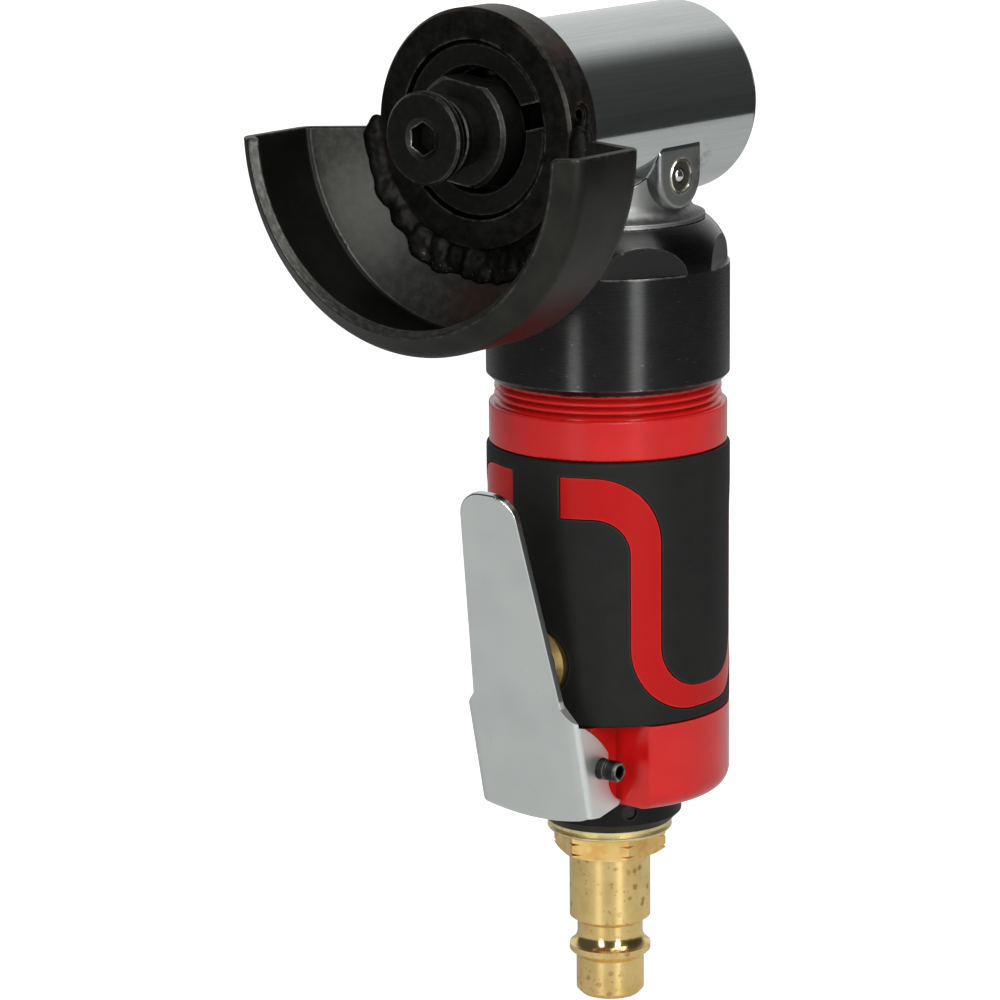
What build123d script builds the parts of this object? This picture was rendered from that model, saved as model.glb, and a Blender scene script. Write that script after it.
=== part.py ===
from build123d import *
import math
import os

# Right angle air grinder with a disc arbor and a half-round guard. Sizes are in millimetres.
# Z runs up the handle axis from the tip of the air nipple. The spindle crosses that axis at the
# top and points along -Y. The throttle lever is on the -Y side too, and its pin lies along X.

# Clearances between pieces
press_gap = 0.02
slip_gap = 0.1
free_gap = 0.3

# Air nipple, plug-in kind with a 10 mm nose and a 12 mm body
nose_radius = 5.0
nose_length = 5.8
nose_chamfer = 0.7
rib_length = 2.7
rib_cove = 2.2
neck_radius = 4.85
neck_length = 2.7
nipple_body_radius = 6.0
nipple_shoulder = 0.8
nipple_body_length = 10.2
hex_flats = 14.5
hex_height = 3.4
hex_turn = -4.0
hex_corner_round = 0.45
hex_groove_radius = 7.75
hex_groove_width = 0.7
nipple_bore = 3.3
nipple_thread_radius = 6.5
nipple_thread_length = 9.0

# Inlet bushing and exhaust deflector below the handle
bushing_flange_radius = 9.2
bushing_flange_height = 1.5
bushing_groove = 0.3
bushing_barrel_radius = 8.2
bushing_air_bore = 4.0
deflector_exposed = 5.3
deflector_radius = 10.6
deflector_foot_radius = 9.3
deflector_wall = 0.8
deflector_floor = 1.4
deflector_lip = 1.7
deflector_lip_height = 1.4
exhaust_hole_radius = 1.1
exhaust_hole_count = 3
exhaust_hole_turn = 53.0
exhaust_chamber_height = 2.3

# Air motor
rotor_radius = 10.0
rotor_gap = 0.3
rotor_offset = 0.9
cylinder_wall = 1.0
cylinder_length = 26.0
end_plate_height = 5.4
rotor_end_gap = 0.15
vane_count = 5
vane_thickness = 1.4
vane_root_radius = 5.6
vane_tip_gap = 0.15
dowel_radius = 0.8
dowel_length = 6.0
dowel_inset = 1.4
tang_flats = 4.0
tang_length = 8.4
preload_washer_height = 0.6
preload_washer_bore = 8.0

# Handle body and grip
housing_wall = 2.2
sleeve_thickness = 2.2
sleeve_edge = 0.5
base_height = 12.8
base_bottom_fillet = 2.8
base_edge_round = 1.2
ring_edge_round = 0.3
motor_floor_rise = 16.4
ring_inset = 0.4
ring_height = 5.8
thread_length = 14.2
thread_visible = 3.3
thread_pitch = 1.1
thread_depth = 0.55
thread_step = 1.0
air_passage_radius = 2.0
exhaust_passage_radius = 1.7
exhaust_passage_centre = 12.2

# Red bands that show through the grip sleeve, by angle from -Y and by height on the sleeve
band_start_angle = 14.4
band_column_start = 47.2
band_column_end = 61.9
band_view_angle = 52.0
band_top_margin = 2.3
band_arm_width = 5.9
band_bottom_margin = 2.0
band_floor_width = 3.1
band_arm_outer_bend = 9.8
band_arm_inner_bend = 5.3
band_floor_outer_bend = 9.8
band_floor_inner_bend = 6.6
band_gap = 0.15
band_recess = 0.1

# Throttle lever and its pin
nose_half_width = 8.4
nose_step = 9.7
nose_front_trim = 0.7
lever_thickness = 1.2
lever_side_gap = 0.2
lever_angle = 12.35
lever_reach = 4.97
lever_top = 42.3
lever_top_half_width = 4.65
lever_top_round = 4.2
lever_flare_top = 10.1
lever_flare_bottom = 7.6
lever_flare_half_width = 7.9
lever_foot = 7.1
lever_foot_bow = 1.3
lever_bend = 1.6
lever_edge = 0.25
pin_radius = 1.5
pin_bore = 1.0
pin_groove = 0.25
pin_slot = 0.5
pin_chamfer = 0.25
pin_inset = 2.7
pin_rise = 7.1
pin_stand_out = 3.2
pin_far_end = 1.0
ear_round_drop = 2.7
ear_round_inset = 0.8
ear_back_reach = 1.7
ear_shoulder = 3.4
ear_tail_rise = 1.4

# Throttle valve
valve_rise = 9.0
valve_bush_radius = 5.2
valve_bush_front = 1.0
valve_barrel_radius = 4.6
valve_seat_depth = 3.6
valve_chamber_radius = 4.3
valve_chamber_end = 8.5
valve_front_chamber = 3.4
valve_bush_depth = 1.1
valve_guide_length = 3.3
inlet_passage_y = 2.0
stem_radius = 1.5
stem_tip_gap = 0.25
stem_disc_radius = 3.9
stem_disc_thickness = 1.4
stem_tail = 2.4
seal_thickness = 1.0
valve_spring_radius = 2.6
valve_spring_wire = 0.7
valve_spring_turns = 5

# Clamp collar
collar_wall = 1.05
collar_height = 23.2
collar_chamfer = 1.0
collar_straight = 16.9
collar_top_radius = 14.4
collar_shoulder_radius = 16.6
collar_flat_distance = 16.3
collar_flat_count = 6
collar_flat_turn = 55.0
snap_ring_height = 1.7
snap_ring_reach = 2.0
snap_ring_depth = 0.8
snap_ring_opening = 3.0

# Angle head
head_gap = 1.95
head_radius = 13.75
head_rear = 18.1
head_rear_fillet = 1.2
gear_cavity_radius = 10.4
neck_spigot_length = 5.0
neck_outer_radius = 13.6
neck_flange_radius = 14.0
neck_flange_height = 0.6
neck_waist_radius = 11.8
neck_flare = 2.4
neck_lower_bore = 9.5
pinion_opening = 7.2
pinion_bearing_drop = 13.8
circlip_height = 1.1
circlip_depth = 0.6
circlip_reach = 1.1
circlip_opening = 3.0
head_nose_radius = 12.25
head_nose_length = 4.6
head_nose_front = 28.5
grease_boss_radius = 5.05
grease_boss_drop = 8.8
grease_boss_inset = 0.75
grease_boss_rise = 4.6
grease_boss_edge = 0.8
grease_channel = 0.8

# Grease fitting
fitting_radius = 2.65
fitting_length = 5.2
fitting_stand_out = 0.2
fitting_floor = 0.8
fitting_rim = 0.45
fitting_dish = 0.35
fitting_mouth = 1.1
fitting_mouth_depth = 0.3
grease_ball_radius = 1.3
grease_spring_radius = 0.75
grease_spring_wire = 0.3
grease_spring_turns = 2

# Bevel gears, straight teeth of one module on crossing axes
module = 1.0
pinion_teeth = 12
gear_teeth = 18
pressure_angle = 20.0
face_width = 3.2
tooth_addendum = 0.9
tooth_dedendum = 1.15
tooth_backlash = 0.14
pinion_shank_radius = 4.0
pinion_hub_wall = 1.0
gear_hub_wall = 2.0
gear_back = 9.6
key_width = 2.0
key_height = 2.0
key_length = 3.6

# Spindle, arbor and nut, distances in front of the handle axis
spindle_radius = 4.0
spindle_collar_radius = 5.6
flange_radius = 7.9
flange_flats = 14.0
flange_flat_turn = -8.7
flange_front = 33.7
flange_length = 4.7
flange_chamfer = 0.5
pilot_radius = 4.75
pilot_length = 3.5
clamp_washer_radius = 5.65
clamp_washer_thickness = 1.3
screw_radius = 2.45
screw_length = 14.0
screw_neck_radius = 4.4
screw_neck_length = 1.7
screw_head_radius = 6.37
screw_head_height = 1.2
screw_socket_flats = 4.0
screw_socket_depth = 2.4
screw_socket_mouth = 2.86
nut_radius = 12.0
nut_bore = 8.57
nut_flange = 1.4
nut_barrel = 2.0
nut_thread_inset = 0.15
nut_slot_width = 3.4
nut_slot_depth = 1.5
nut_slot_turn = 14.5
nut_chamfer = 0.3

# Guard
guard_ring_radius = 16.7
guard_ring_front = 30.4
guard_ring_thickness = 6.2
guard_ring_chamfer = 0.4
guard_shell_radius = 29.4
guard_sheet = 1.6
guard_standoff = 1.2
guard_dish = 3.5
guard_depth = 15.5
guard_lip_width = 3.2
guard_lip_rise = 2.6
guard_bend = 2.4
guard_arc = 177.0
guard_corner = 1.0
guard_edge = 0.3
weld_reach = 3.2
weld_height = 1.2
weld_end_margin = 4.0
set_screw_radius = 1.5
set_screw_length = 3.6
set_screw_socket = 1.5
set_screw_turn = 10.7
set_screw_recess = 0.6

# Ball bearings: bore radius, outside radius, width, ball radius and ball count
motor_bearing = (2.5, 6.5, 4.0, 1.0, 8)
pinion_bearing_size = (pinion_shank_radius, 8.0, 5.0, 1.2, 10)
front_spindle_bearing_size = (spindle_radius, 11.0, 7.0, 1.98, 7)
rear_spindle_bearing_size = (3.0, 9.5, 6.0, 1.75, 7)
ball_gap = 0.02
ring_land = 0.4

# Heights worked out from the sizes above
rib_top = nose_length + rib_length
neck_top = rib_top + neck_length
nipple_body_bottom = neck_top + nipple_shoulder
hex_bottom = nipple_body_bottom + nipple_body_length
hex_top = hex_bottom + hex_height
bushing_top = hex_top + bushing_flange_height
base_bottom = bushing_top + deflector_exposed
base_top = base_bottom + base_height
valve_z = base_top + valve_rise
motor_floor = base_top + motor_floor_rise
cylinder_bottom = motor_floor + end_plate_height
cylinder_top = cylinder_bottom + cylinder_length
front_plate_top = cylinder_top + end_plate_height
neck_bottom = front_plate_top + preload_washer_height
housing_top = neck_bottom + neck_spigot_length
ring_top = housing_top - thread_length
ring_bottom = ring_top - ring_height
collar_bottom = ring_top + thread_visible
collar_top = collar_bottom + collar_height
head_z = collar_top + head_gap + head_radius
inlet_bore_top = base_top - 0.2
pin_z = base_bottom + pin_rise

# Radii worked out from the sizes above
cylinder_bore = rotor_radius + rotor_offset + rotor_gap
cylinder_radius = cylinder_bore + rotor_offset + cylinder_wall
motor_bore = cylinder_radius + slip_gap
core_radius = motor_bore + housing_wall
grip_radius = core_radius + sleeve_thickness
ring_radius = grip_radius - ring_inset
thread_radius = core_radius + thread_step
collar_radius = thread_radius + slip_gap + collar_wall
pin_y = pin_inset - grip_radius
exhaust_chamber_radius = deflector_radius + deflector_lip + 0.2
lever_inner = nose_half_width + lever_side_gap
lever_half_width = lever_inner + lever_thickness
grease_boss_face = head_radius - grease_boss_inset
pinion_hub_radius = pinion_shank_radius + pinion_hub_wall
gear_hub_radius = spindle_radius + gear_hub_wall
guard_hole_radius = guard_ring_radius + press_gap
guard_lip_radius = guard_shell_radius - guard_lip_width
weld_crown_radius = guard_ring_radius + weld_reach * 0.4
weld_outer_radius = guard_ring_radius + weld_reach

# Planes and axes
spindle_plane = Plane.XY.offset(head_z)
spindle_axis = Axis((0, 0, head_z), (0, 1, 0))
valve_plane = Plane.XY.offset(valve_z)
valve_axis = Axis((0, 0, valve_z), (0, 1, 0))
fitting_z = head_z - grease_boss_drop
fitting_axis = Axis((0, 0, fitting_z), (1, 0, 0))
lever_slope = math.radians(lever_angle)
lever_plane = Plane(
    origin=(0, pin_y - lever_reach, pin_z),
    x_dir=(1, 0, 0),
    z_dir=(0, -math.cos(lever_slope), -math.sin(lever_slope)),
)


def save(piece, name):
    """Label a finished piece and write it under its own name."""
    piece.part.label = name
    export_step(piece.part, f"parts/{name}.step")


def turned(points, plane=Plane.XZ, axis=Axis.Z, mode=Mode.ADD, arc=360):
    """Turn a closed outline of straight lines about an axis."""
    with BuildSketch(plane) as profile:
        with BuildLine():
            Polyline(*points, close=True)
        make_face()
    revolve(profile.sketch, axis=axis, revolution_arc=arc, mode=mode)


def bored(radius, start, end, mode=Mode.SUBTRACT):
    """Drill a round hole, or add a rod, between two points."""
    start = Vector(*start)
    end = Vector(*end)
    with BuildSketch(Plane(origin=start, z_dir=end - start)) as section:
        Circle(radius)
    extrude(section.sketch, amount=(end - start).length, mode=mode)


def box_between(low, high, mode=Mode.SUBTRACT):
    """Cut, or add, a box given by two opposite corners."""
    size = [b - a for a, b in zip(low, high)]
    middle = [(a + b) / 2 for a, b in zip(low, high)]
    with Locations(tuple(middle)):
        Box(*size, mode=mode)


def ball_bearing(name, plane, size):
    """Make a ball bearing as three pieces about the plane's Z, with its middle at the origin."""
    bore, outside, width, ball, count = size
    pitch = (bore + outside) / 2
    land = ring_land * ball
    half = width / 2
    section = Plane(plane.origin, x_dir=plane.x_dir, z_dir=plane.x_dir.cross(plane.z_dir))
    axis = Axis(plane.origin, plane.z_dir)
    rings = {"inner_ring": (bore + press_gap, pitch - land), "outer_ring": (pitch + land, outside)}
    for ring_name, (low, high) in rings.items():
        with BuildPart() as ring:
            turned([(low, -half), (high, -half), (high, half), (low, half)], section, axis)
            with BuildSketch(section) as groove:
                with Locations((pitch, 0)):
                    Circle(ball + ball_gap)
            revolve(groove.sketch, axis=axis, mode=Mode.SUBTRACT)
        save(ring, f"{name}_{ring_name}")
    with BuildPart(plane) as balls:
        with PolarLocations(pitch, count):
            Sphere(ball)
    save(balls, f"{name}_balls")


def coil_path(radius, pitch, turns, plane):
    """Draw a helix about the plane's Z as tangent arcs, two for each quarter turn."""
    rise = pitch / (2 * math.pi)

    def point(angle):
        local = Vector(radius * math.cos(angle), radius * math.sin(angle), rise * angle)
        return plane.from_local_coords(local)

    def heading(angle):
        local = Vector(-radius * math.sin(angle), radius * math.cos(angle), rise).normalized()
        return plane.x_dir * local.X + plane.y_dir * local.Y + plane.z_dir * local.Z

    quarter = math.pi / 2
    with BuildLine() as path:
        for step in range(4 * turns):
            start, end = point(step * quarter), point((step + 1) * quarter)
            leave, arrive = heading(step * quarter), heading((step + 1) * quarter)
            span = end - start
            together = span.dot(leave + arrive)
            spread = 2 * (1 - leave.dot(arrive))
            reach = (math.sqrt(together**2 + spread * span.dot(span)) - together) / spread
            join = (start + end + (leave - arrive) * reach) * 0.5
            TangentArc(start, join, tangent=leave)
            TangentArc(join, end, tangent=arrive_tangent(join, end, arrive))
    return path


def arrive_tangent(join, end, arrive):
    """Find the heading at the start of an arc from its chord and the heading at its end."""
    chord = (end - join).normalized()
    return chord * (2 * chord.dot(arrive)) - arrive


os.makedirs("parts", exist_ok=True)

# Air nipple: nose, rib, neck and body turned in one, with a hexagon and a thread stub
with BuildPart() as air_nipple:
    rib_peak = nose_length + rib_length / 2
    rib_flat = rib_length / 6
    turned(
        [
            (nipple_bore, 0),
            (nose_radius - nose_chamfer, 0),
            (nose_radius, nose_chamfer),
            (nose_radius, nose_length),
            (nipple_body_radius, rib_peak - rib_flat),
            (nipple_body_radius, rib_peak + rib_flat),
            (neck_radius, rib_top),
            (neck_radius, neck_top),
            (nipple_body_radius, nipple_body_bottom),
            (nipple_body_radius, hex_bottom),
            (nipple_thread_radius, hex_bottom),
            (nipple_thread_radius, hex_top + nipple_thread_length),
            (nipple_bore, hex_top + nipple_thread_length),
        ]
    )
    neck_foot = air_nipple.edges().filter_by(lambda e: abs(e.center().Z - rib_top) < 0.01)
    fillet(neck_foot.filter_by(GeomType.CIRCLE), rib_cove)
    with BuildSketch(Plane.XY.offset(hex_bottom)) as hexagon:
        RegularPolygon(hex_flats / 2, 6, major_radius=False, rotation=hex_turn - 90)
        Circle(nipple_bore, mode=Mode.SUBTRACT)
    extrude(hexagon.sketch, amount=hex_height)
    corner_radius = hex_flats / math.sqrt(3)
    turned(
        [
            (corner_radius - hex_corner_round * 2, hex_bottom),
            (corner_radius + 0.1, hex_bottom + hex_corner_round),
            (corner_radius + 0.1, hex_bottom),
        ],
        mode=Mode.SUBTRACT,
    )
    for groove_height in (hex_height * 0.22, hex_height * 0.68):
        groove_z = hex_bottom + groove_height
        turned(
            [
                (hex_groove_radius, groove_z),
                (hex_flats, groove_z - hex_groove_width * 3),
                (hex_flats, groove_z + hex_groove_width * 3),
            ],
            mode=Mode.SUBTRACT,
        )
save(air_nipple, "air_nipple")

# Inlet bushing: flange under the handle and a barrel screwed into it
nipple_seat = hex_top + nipple_thread_length + free_gap
with BuildPart() as inlet_bushing:
    groove_z = hex_top + bushing_flange_height / 2
    turned(
        [
            (nipple_thread_radius + slip_gap, hex_top),
            (bushing_flange_radius - bushing_groove, hex_top),
            (bushing_flange_radius, hex_top + bushing_groove),
            (bushing_flange_radius, groove_z - bushing_groove),
            (bushing_flange_radius - bushing_groove, groove_z),
            (bushing_flange_radius, groove_z + bushing_groove),
            (bushing_flange_radius, bushing_top),
            (bushing_barrel_radius, bushing_top),
            (bushing_barrel_radius, inlet_bore_top),
            (bushing_air_bore, inlet_bore_top),
            (bushing_air_bore, nipple_seat),
            (nipple_thread_radius + slip_gap, nipple_seat),
        ]
    )
save(inlet_bushing, "inlet_bushing")

# Exhaust deflector: a cup round the bushing, held by its lip, with holes that aim the exhaust
deflector_bottom = bushing_top + slip_gap
deflector_top = base_bottom + deflector_lip_height + 0.2
deflector_bore = bushing_barrel_radius + slip_gap + 0.05
cup_radius = deflector_radius - deflector_wall
with BuildPart() as exhaust_deflector:
    lip_bottom = deflector_top - deflector_lip_height
    taper = deflector_radius - deflector_foot_radius
    turned(
        [
            (deflector_bore, deflector_bottom),
            (deflector_foot_radius, deflector_bottom),
            (deflector_radius, deflector_bottom + taper),
            (deflector_radius, lip_bottom),
            (deflector_radius + deflector_lip, lip_bottom),
            (deflector_radius + deflector_lip, deflector_top),
            (cup_radius, deflector_top),
            (cup_radius, deflector_bottom + deflector_floor),
            (deflector_bore, deflector_bottom + deflector_floor),
        ]
    )
    hole_z = (deflector_bottom + taper + lip_bottom) / 2
    for index in range(exhaust_hole_count):
        turn = math.radians(exhaust_hole_turn + 360 / exhaust_hole_count * index)
        way = Vector(math.sin(turn), -math.cos(turn), 0)
        start = way * (cup_radius - 0.3) + Vector(0, 0, hole_z)
        bored(exhaust_hole_radius, start, start + way * (deflector_wall + 1))
save(exhaust_deflector, "exhaust_deflector")

# Felt ring of the silencer, in the deflector's cup
with BuildPart() as muffler_felt:
    felt_bottom = deflector_bottom + deflector_floor + press_gap
    felt_top = deflector_top - free_gap
    felt_inner = deflector_bore + press_gap
    felt_outer = cup_radius - slip_gap
    turned(
        [(felt_inner, felt_bottom), (felt_outer, felt_bottom), (felt_outer, felt_top), (felt_inner, felt_top)]
    )
save(muffler_felt, "muffler_felt")


def band_blocks(gap):
    """Make the four blocks, mirrored front to back and side to side, that cut the bands."""
    view = math.radians(band_view_angle)

    def across(angle):
        return grip_radius * math.sin(math.radians(angle) - view)

    start, column_start, column_end = (
        across(angle) for angle in (band_start_angle, band_column_start, band_column_end)
    )
    past_side = across(90) + free_gap
    arm_top = ring_bottom - band_top_margin
    arm_bottom = arm_top - band_arm_width
    floor_bottom = base_top + band_bottom_margin
    floor_top = floor_bottom + band_floor_width
    toward = Vector(math.sin(view), -math.cos(view), 0)
    facing = Plane((0, 0, 0), x_dir=(math.cos(view), math.sin(view), 0), z_dir=toward)
    with BuildPart() as blocks:
        with BuildSketch(facing) as outline:
            with BuildLine():
                FilletPolyline(
                    (start, arm_top),
                    (column_end, arm_top),
                    (column_end, floor_top),
                    (past_side, floor_top),
                    radius=(band_arm_outer_bend, band_floor_inner_bend),
                )
                FilletPolyline(
                    (past_side, floor_bottom),
                    (column_start, floor_bottom),
                    (column_start, arm_bottom),
                    (start, arm_bottom),
                    radius=(band_floor_outer_bend, band_arm_inner_bend),
                )
                Line((past_side, floor_top), (past_side, floor_bottom))
                Line((start, arm_bottom), (start, arm_top))
            make_face()
            if gap:
                offset(amount=gap, kind=Kind.INTERSECTION)
        extrude(outline.sketch, amount=grip_radius * 1.2)
        split(bisect_by=Plane.XZ, keep=Keep.TOP)
        mirror(about=Plane.XZ)
        mirror(about=Plane.YZ)
    return blocks.part


# The sleeve's height and the red bands that stand up from the core through its windows
sleeve_bottom = base_top + slip_gap
sleeve_top = ring_bottom - slip_gap
band_tool = band_blocks(0)
with BuildPart() as bands:
    bored(grip_radius - band_recess, (0, 0, sleeve_bottom), (0, 0, sleeve_top), mode=Mode.ADD)
    bored(core_radius - 1, (0, 0, sleeve_bottom), (0, 0, sleeve_top))
    add(band_tool, mode=Mode.INTERSECT)

# Motor housing: base with the lever nose, core under the sleeve with the raised bands, ring and thread
exhaust_roof = deflector_top + 0.15
with BuildPart() as motor_housing:
    turned(
        [
            (0, base_bottom),
            (grip_radius, base_bottom),
            (grip_radius, base_top),
            (core_radius, base_top),
            (core_radius, ring_bottom),
            (ring_radius, ring_bottom),
            (ring_radius, ring_top),
            (thread_radius, ring_top),
            (thread_radius, housing_top),
            (0, housing_top),
        ]
    )
    fillet(motor_housing.edges().group_by(Axis.Z)[0].sort_by(SortBy.LENGTH)[-1], base_bottom_fillet)
    ring_edges = motor_housing.edges().filter_by(GeomType.CIRCLE)
    fillet(ring_edges.filter_by(lambda e: abs(e.radius - ring_radius) < 0.01), ring_edge_round)
    for side in (-1, 1):
        low_x, high_x = sorted((side * nose_half_width, side * grip_radius * 1.1))
        box_between((low_x, -grip_radius * 1.1, base_bottom - 1), (high_x, -nose_step, base_top))
    nose_front = grip_radius - nose_front_trim
    box_between((-grip_radius, -grip_radius * 1.1, base_bottom - 1), (grip_radius, -nose_front, base_top))
    step_edges = motor_housing.edges().filter_by(Axis.Z).filter_by(
        lambda e: abs(e.center().Y + nose_step) < 0.01 and abs(e.center().X) > nose_half_width + 1
    )
    fillet(step_edges, base_edge_round)
    add(bands.part)
    bored(motor_bore, (0, 0, motor_floor), (0, 0, housing_top))
    bored(bushing_barrel_radius + slip_gap, (0, 0, base_bottom), (0, 0, inlet_bore_top + press_gap))
    bored(exhaust_chamber_radius, (0, 0, base_bottom), (0, 0, exhaust_roof))
    bored(deflector_radius + 1, (0, 0, exhaust_roof), (0, 0, exhaust_roof + exhaust_chamber_height))
    for side in (-1, 1):
        passage = Vector(side, 1, 0).normalized() * exhaust_passage_centre
        low = passage + Vector(0, 0, exhaust_roof)
        bored(exhaust_passage_radius, low, passage + Vector(0, 0, cylinder_top))
    crest_count = int((housing_top - ring_top) / thread_pitch)
    for index in range(crest_count):
        groove_z = ring_top + thread_pitch * (index + 0.5)
        turned(
            [
                (thread_radius - thread_depth, groove_z),
                (thread_radius + 0.1, groove_z - thread_pitch * 0.45),
                (thread_radius + 0.1, groove_z + thread_pitch * 0.45),
            ],
            mode=Mode.SUBTRACT,
        )
    bush_seat = core_radius - valve_bush_depth
    bored(valve_bush_radius + 0.2, (0, -grip_radius, valve_z), (0, -bush_seat, valve_z))
    bored(valve_barrel_radius + slip_gap, (0, -bush_seat, valve_z), (0, -valve_seat_depth, valve_z))
    bored(valve_chamber_radius, (0, -valve_seat_depth, valve_z), (0, valve_chamber_end, valve_z))
    bored(air_passage_radius, (0, inlet_passage_y, inlet_bore_top), (0, inlet_passage_y, valve_z))
    air_port_y = valve_seat_depth + (bush_seat - valve_seat_depth) / 3
    bored(air_passage_radius, (0, -air_port_y, valve_z), (0, -air_port_y, motor_floor))
    nose_side = nose_half_width * 1.1
    bored(pin_radius + press_gap, (-nose_side, pin_y, pin_z), (nose_side, pin_y, pin_z))
save(motor_housing, "motor_housing")

# Grip sleeve: rubber tube with band windows and a hole for the throttle valve
window_tool = band_blocks(band_gap)
with BuildPart() as grip_sleeve:
    bored(grip_radius, (0, 0, sleeve_bottom), (0, 0, sleeve_top), mode=Mode.ADD)
    fillet(grip_sleeve.edges().filter_by(GeomType.CIRCLE), sleeve_edge)
    bored(core_radius + press_gap, (0, 0, sleeve_bottom), (0, 0, sleeve_top))
    add(window_tool, mode=Mode.SUBTRACT)
    bored(valve_bush_radius + 0.2, (0, -core_radius * 0.9, valve_z), (0, -grip_radius * 1.1, valve_z))
save(grip_sleeve, "grip_sleeve")


def plate_y(height):
    """Find where the lever's outer face lies at a height."""
    return pin_y - lever_reach - math.tan(lever_slope) * (height - pin_z)


# Throttle lever: inclined plate with two ears that straddle the base's nose
with BuildPart() as throttle_lever:
    with BuildSketch(lever_plane) as plate:
        with BuildLine():
            Polyline(
                (-lever_half_width, -lever_foot),
                (-lever_half_width, lever_flare_bottom),
                (-lever_flare_half_width, lever_flare_top),
                (-lever_top_half_width, lever_top),
                (lever_top_half_width, lever_top),
                (lever_flare_half_width, lever_flare_top),
                (lever_half_width, lever_flare_bottom),
                (lever_half_width, -lever_foot),
            )
            foot_bow = -lever_foot - lever_foot_bow
            ThreePointArc((lever_half_width, -lever_foot), (0, foot_bow), (-lever_half_width, -lever_foot))
        make_face()
        fillet(plate.vertices().group_by(Axis.Y)[-1], lever_top_round)
    extrude(plate.sketch, amount=-lever_thickness)
    ear_top = pin_z + lever_flare_bottom * math.cos(lever_slope)
    ear_foot = pin_z - lever_foot * math.cos(lever_slope)
    with BuildSketch(Plane.YZ.offset(lever_inner)) as ear:
        with BuildLine():
            Line((plate_y(ear_foot), ear_foot), (plate_y(ear_top), ear_top))
            ear_back = pin_y + ear_back_reach
            shoulder = (pin_y - ear_shoulder, ear_top - 0.8)
            ear_round = (pin_y - ear_round_inset, ear_top - ear_round_drop)
            back_top = (ear_back, pin_z + 2.0)
            back_bottom = (ear_back + 0.1, pin_z - 2.8)
            tail = (-nose_step - 0.6, base_bottom + ear_tail_rise)
            tail_round = (ear_back + 1.1, tail[1] + 1.2)
            tail_end = (tail[0] - 0.4, tail[1] - 0.8)
            Line((plate_y(ear_top), ear_top), shoulder)
            ThreePointArc(shoulder, ear_round, back_top)
            Line(back_top, back_bottom)
            ThreePointArc(back_bottom, tail_round, tail)
            Polyline(tail, tail_end, (pin_y - 0.4, ear_foot - 0.4), (plate_y(ear_foot), ear_foot))
        make_face()
    extrude(ear.sketch, amount=lever_thickness)
    mirror(about=Plane.YZ)
    bends = throttle_lever.edges().filter_by(
        lambda e: abs(abs(e.center().X) - lever_half_width) < 0.01
        and e.length > lever_foot + lever_flare_bottom - 1
        and e.center().Y < plate_y(pin_z) + 1
    )
    fillet(bends, lever_bend)
    plate_rim = throttle_lever.edges().filter_by(
        lambda e: e.center().Z > ear_top + lever_bend and e.length > lever_thickness * 1.1
    )
    fillet(plate_rim, lever_edge)
    ear_rim = throttle_lever.edges().filter_by(
        lambda e: abs(abs(e.center().X) - lever_half_width) < 0.01
        and e.length < lever_foot + lever_flare_bottom - 1
        and e.center().Y > pin_y - ear_shoulder
    )
    fillet(ear_rim, lever_edge)
    ear_side = lever_half_width * 1.1
    bored(pin_radius + slip_gap, (-ear_side, pin_y, pin_z), (ear_side, pin_y, pin_z))
save(throttle_lever, "throttle_lever")

# Lever pin: rolled spring pin with a slot, stands out on one side
with BuildPart() as lever_pin:
    left = -lever_half_width - pin_far_end
    right = lever_half_width + pin_stand_out
    bored(pin_radius, (left, pin_y, pin_z), (right, pin_y, pin_z), mode=Mode.ADD)
    chamfer(lever_pin.edges().filter_by(GeomType.CIRCLE), pin_chamfer)
    bored(pin_bore, (left, pin_y, pin_z), (right, pin_y, pin_z))
    slot_half = pin_slot / 2
    box_between((left, pin_y - slot_half, pin_z - pin_radius * 2), (right, pin_y + slot_half, pin_z))
    groove_x = lever_half_width + pin_stand_out * 0.4
    pin_side = Plane((0, pin_y, pin_z), x_dir=(1, 0, 0), z_dir=(0, -1, 0))
    turned(
        [
            (groove_x, pin_radius - pin_groove),
            (groove_x + pin_groove, pin_radius + 0.1),
            (groove_x - pin_groove, pin_radius + 0.1),
        ],
        pin_side,
        Axis((0, pin_y, pin_z), (1, 0, 0)),
        mode=Mode.SUBTRACT,
    )
save(lever_pin, "lever_pin")

# Valve bush: brass head against the core, barrel with the stem guide and the front chamber
with BuildPart() as valve_bush:
    bush_front = grip_radius + valve_bush_front
    guide_end = bush_seat - valve_guide_length
    turned(
        [
            (stem_radius + slip_gap, -bush_front),
            (valve_bush_radius - 0.8, -bush_front),
            (valve_bush_radius, -bush_front + 0.8),
            (valve_bush_radius, -bush_seat - press_gap),
            (valve_barrel_radius, -bush_seat - press_gap),
            (valve_barrel_radius, -valve_seat_depth),
            (valve_front_chamber, -valve_seat_depth),
            (valve_front_chamber, -guide_end),
            (stem_radius + slip_gap, -guide_end),
        ],
        valve_plane,
        valve_axis,
    )
    bored(air_passage_radius, (0, -air_port_y, valve_z), (0, -air_port_y, valve_z + valve_barrel_radius + 1))
save(valve_bush, "valve_bush")

# Valve stem with its disc, the seal in front of the disc and the return spring behind it
lever_inner_y = plate_y(valve_z) + lever_thickness / math.cos(lever_slope)
stem_tip = lever_inner_y + stem_tip_gap
seal_front = -valve_seat_depth + 0.05
disc_front = seal_front + seal_thickness + press_gap
disc_back = disc_front + stem_disc_thickness
with BuildPart() as valve_stem:
    turned(
        [
            (0, stem_tip),
            (stem_radius * 0.6, stem_tip),
            (stem_radius, stem_tip + stem_radius * 0.4),
            (stem_radius, disc_front),
            (stem_disc_radius, disc_front),
            (stem_disc_radius, disc_back),
            (stem_radius, disc_back),
            (stem_radius, disc_back + stem_tail),
            (0, disc_back + stem_tail),
        ],
        valve_plane,
        valve_axis,
    )
save(valve_stem, "valve_stem")

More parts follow.
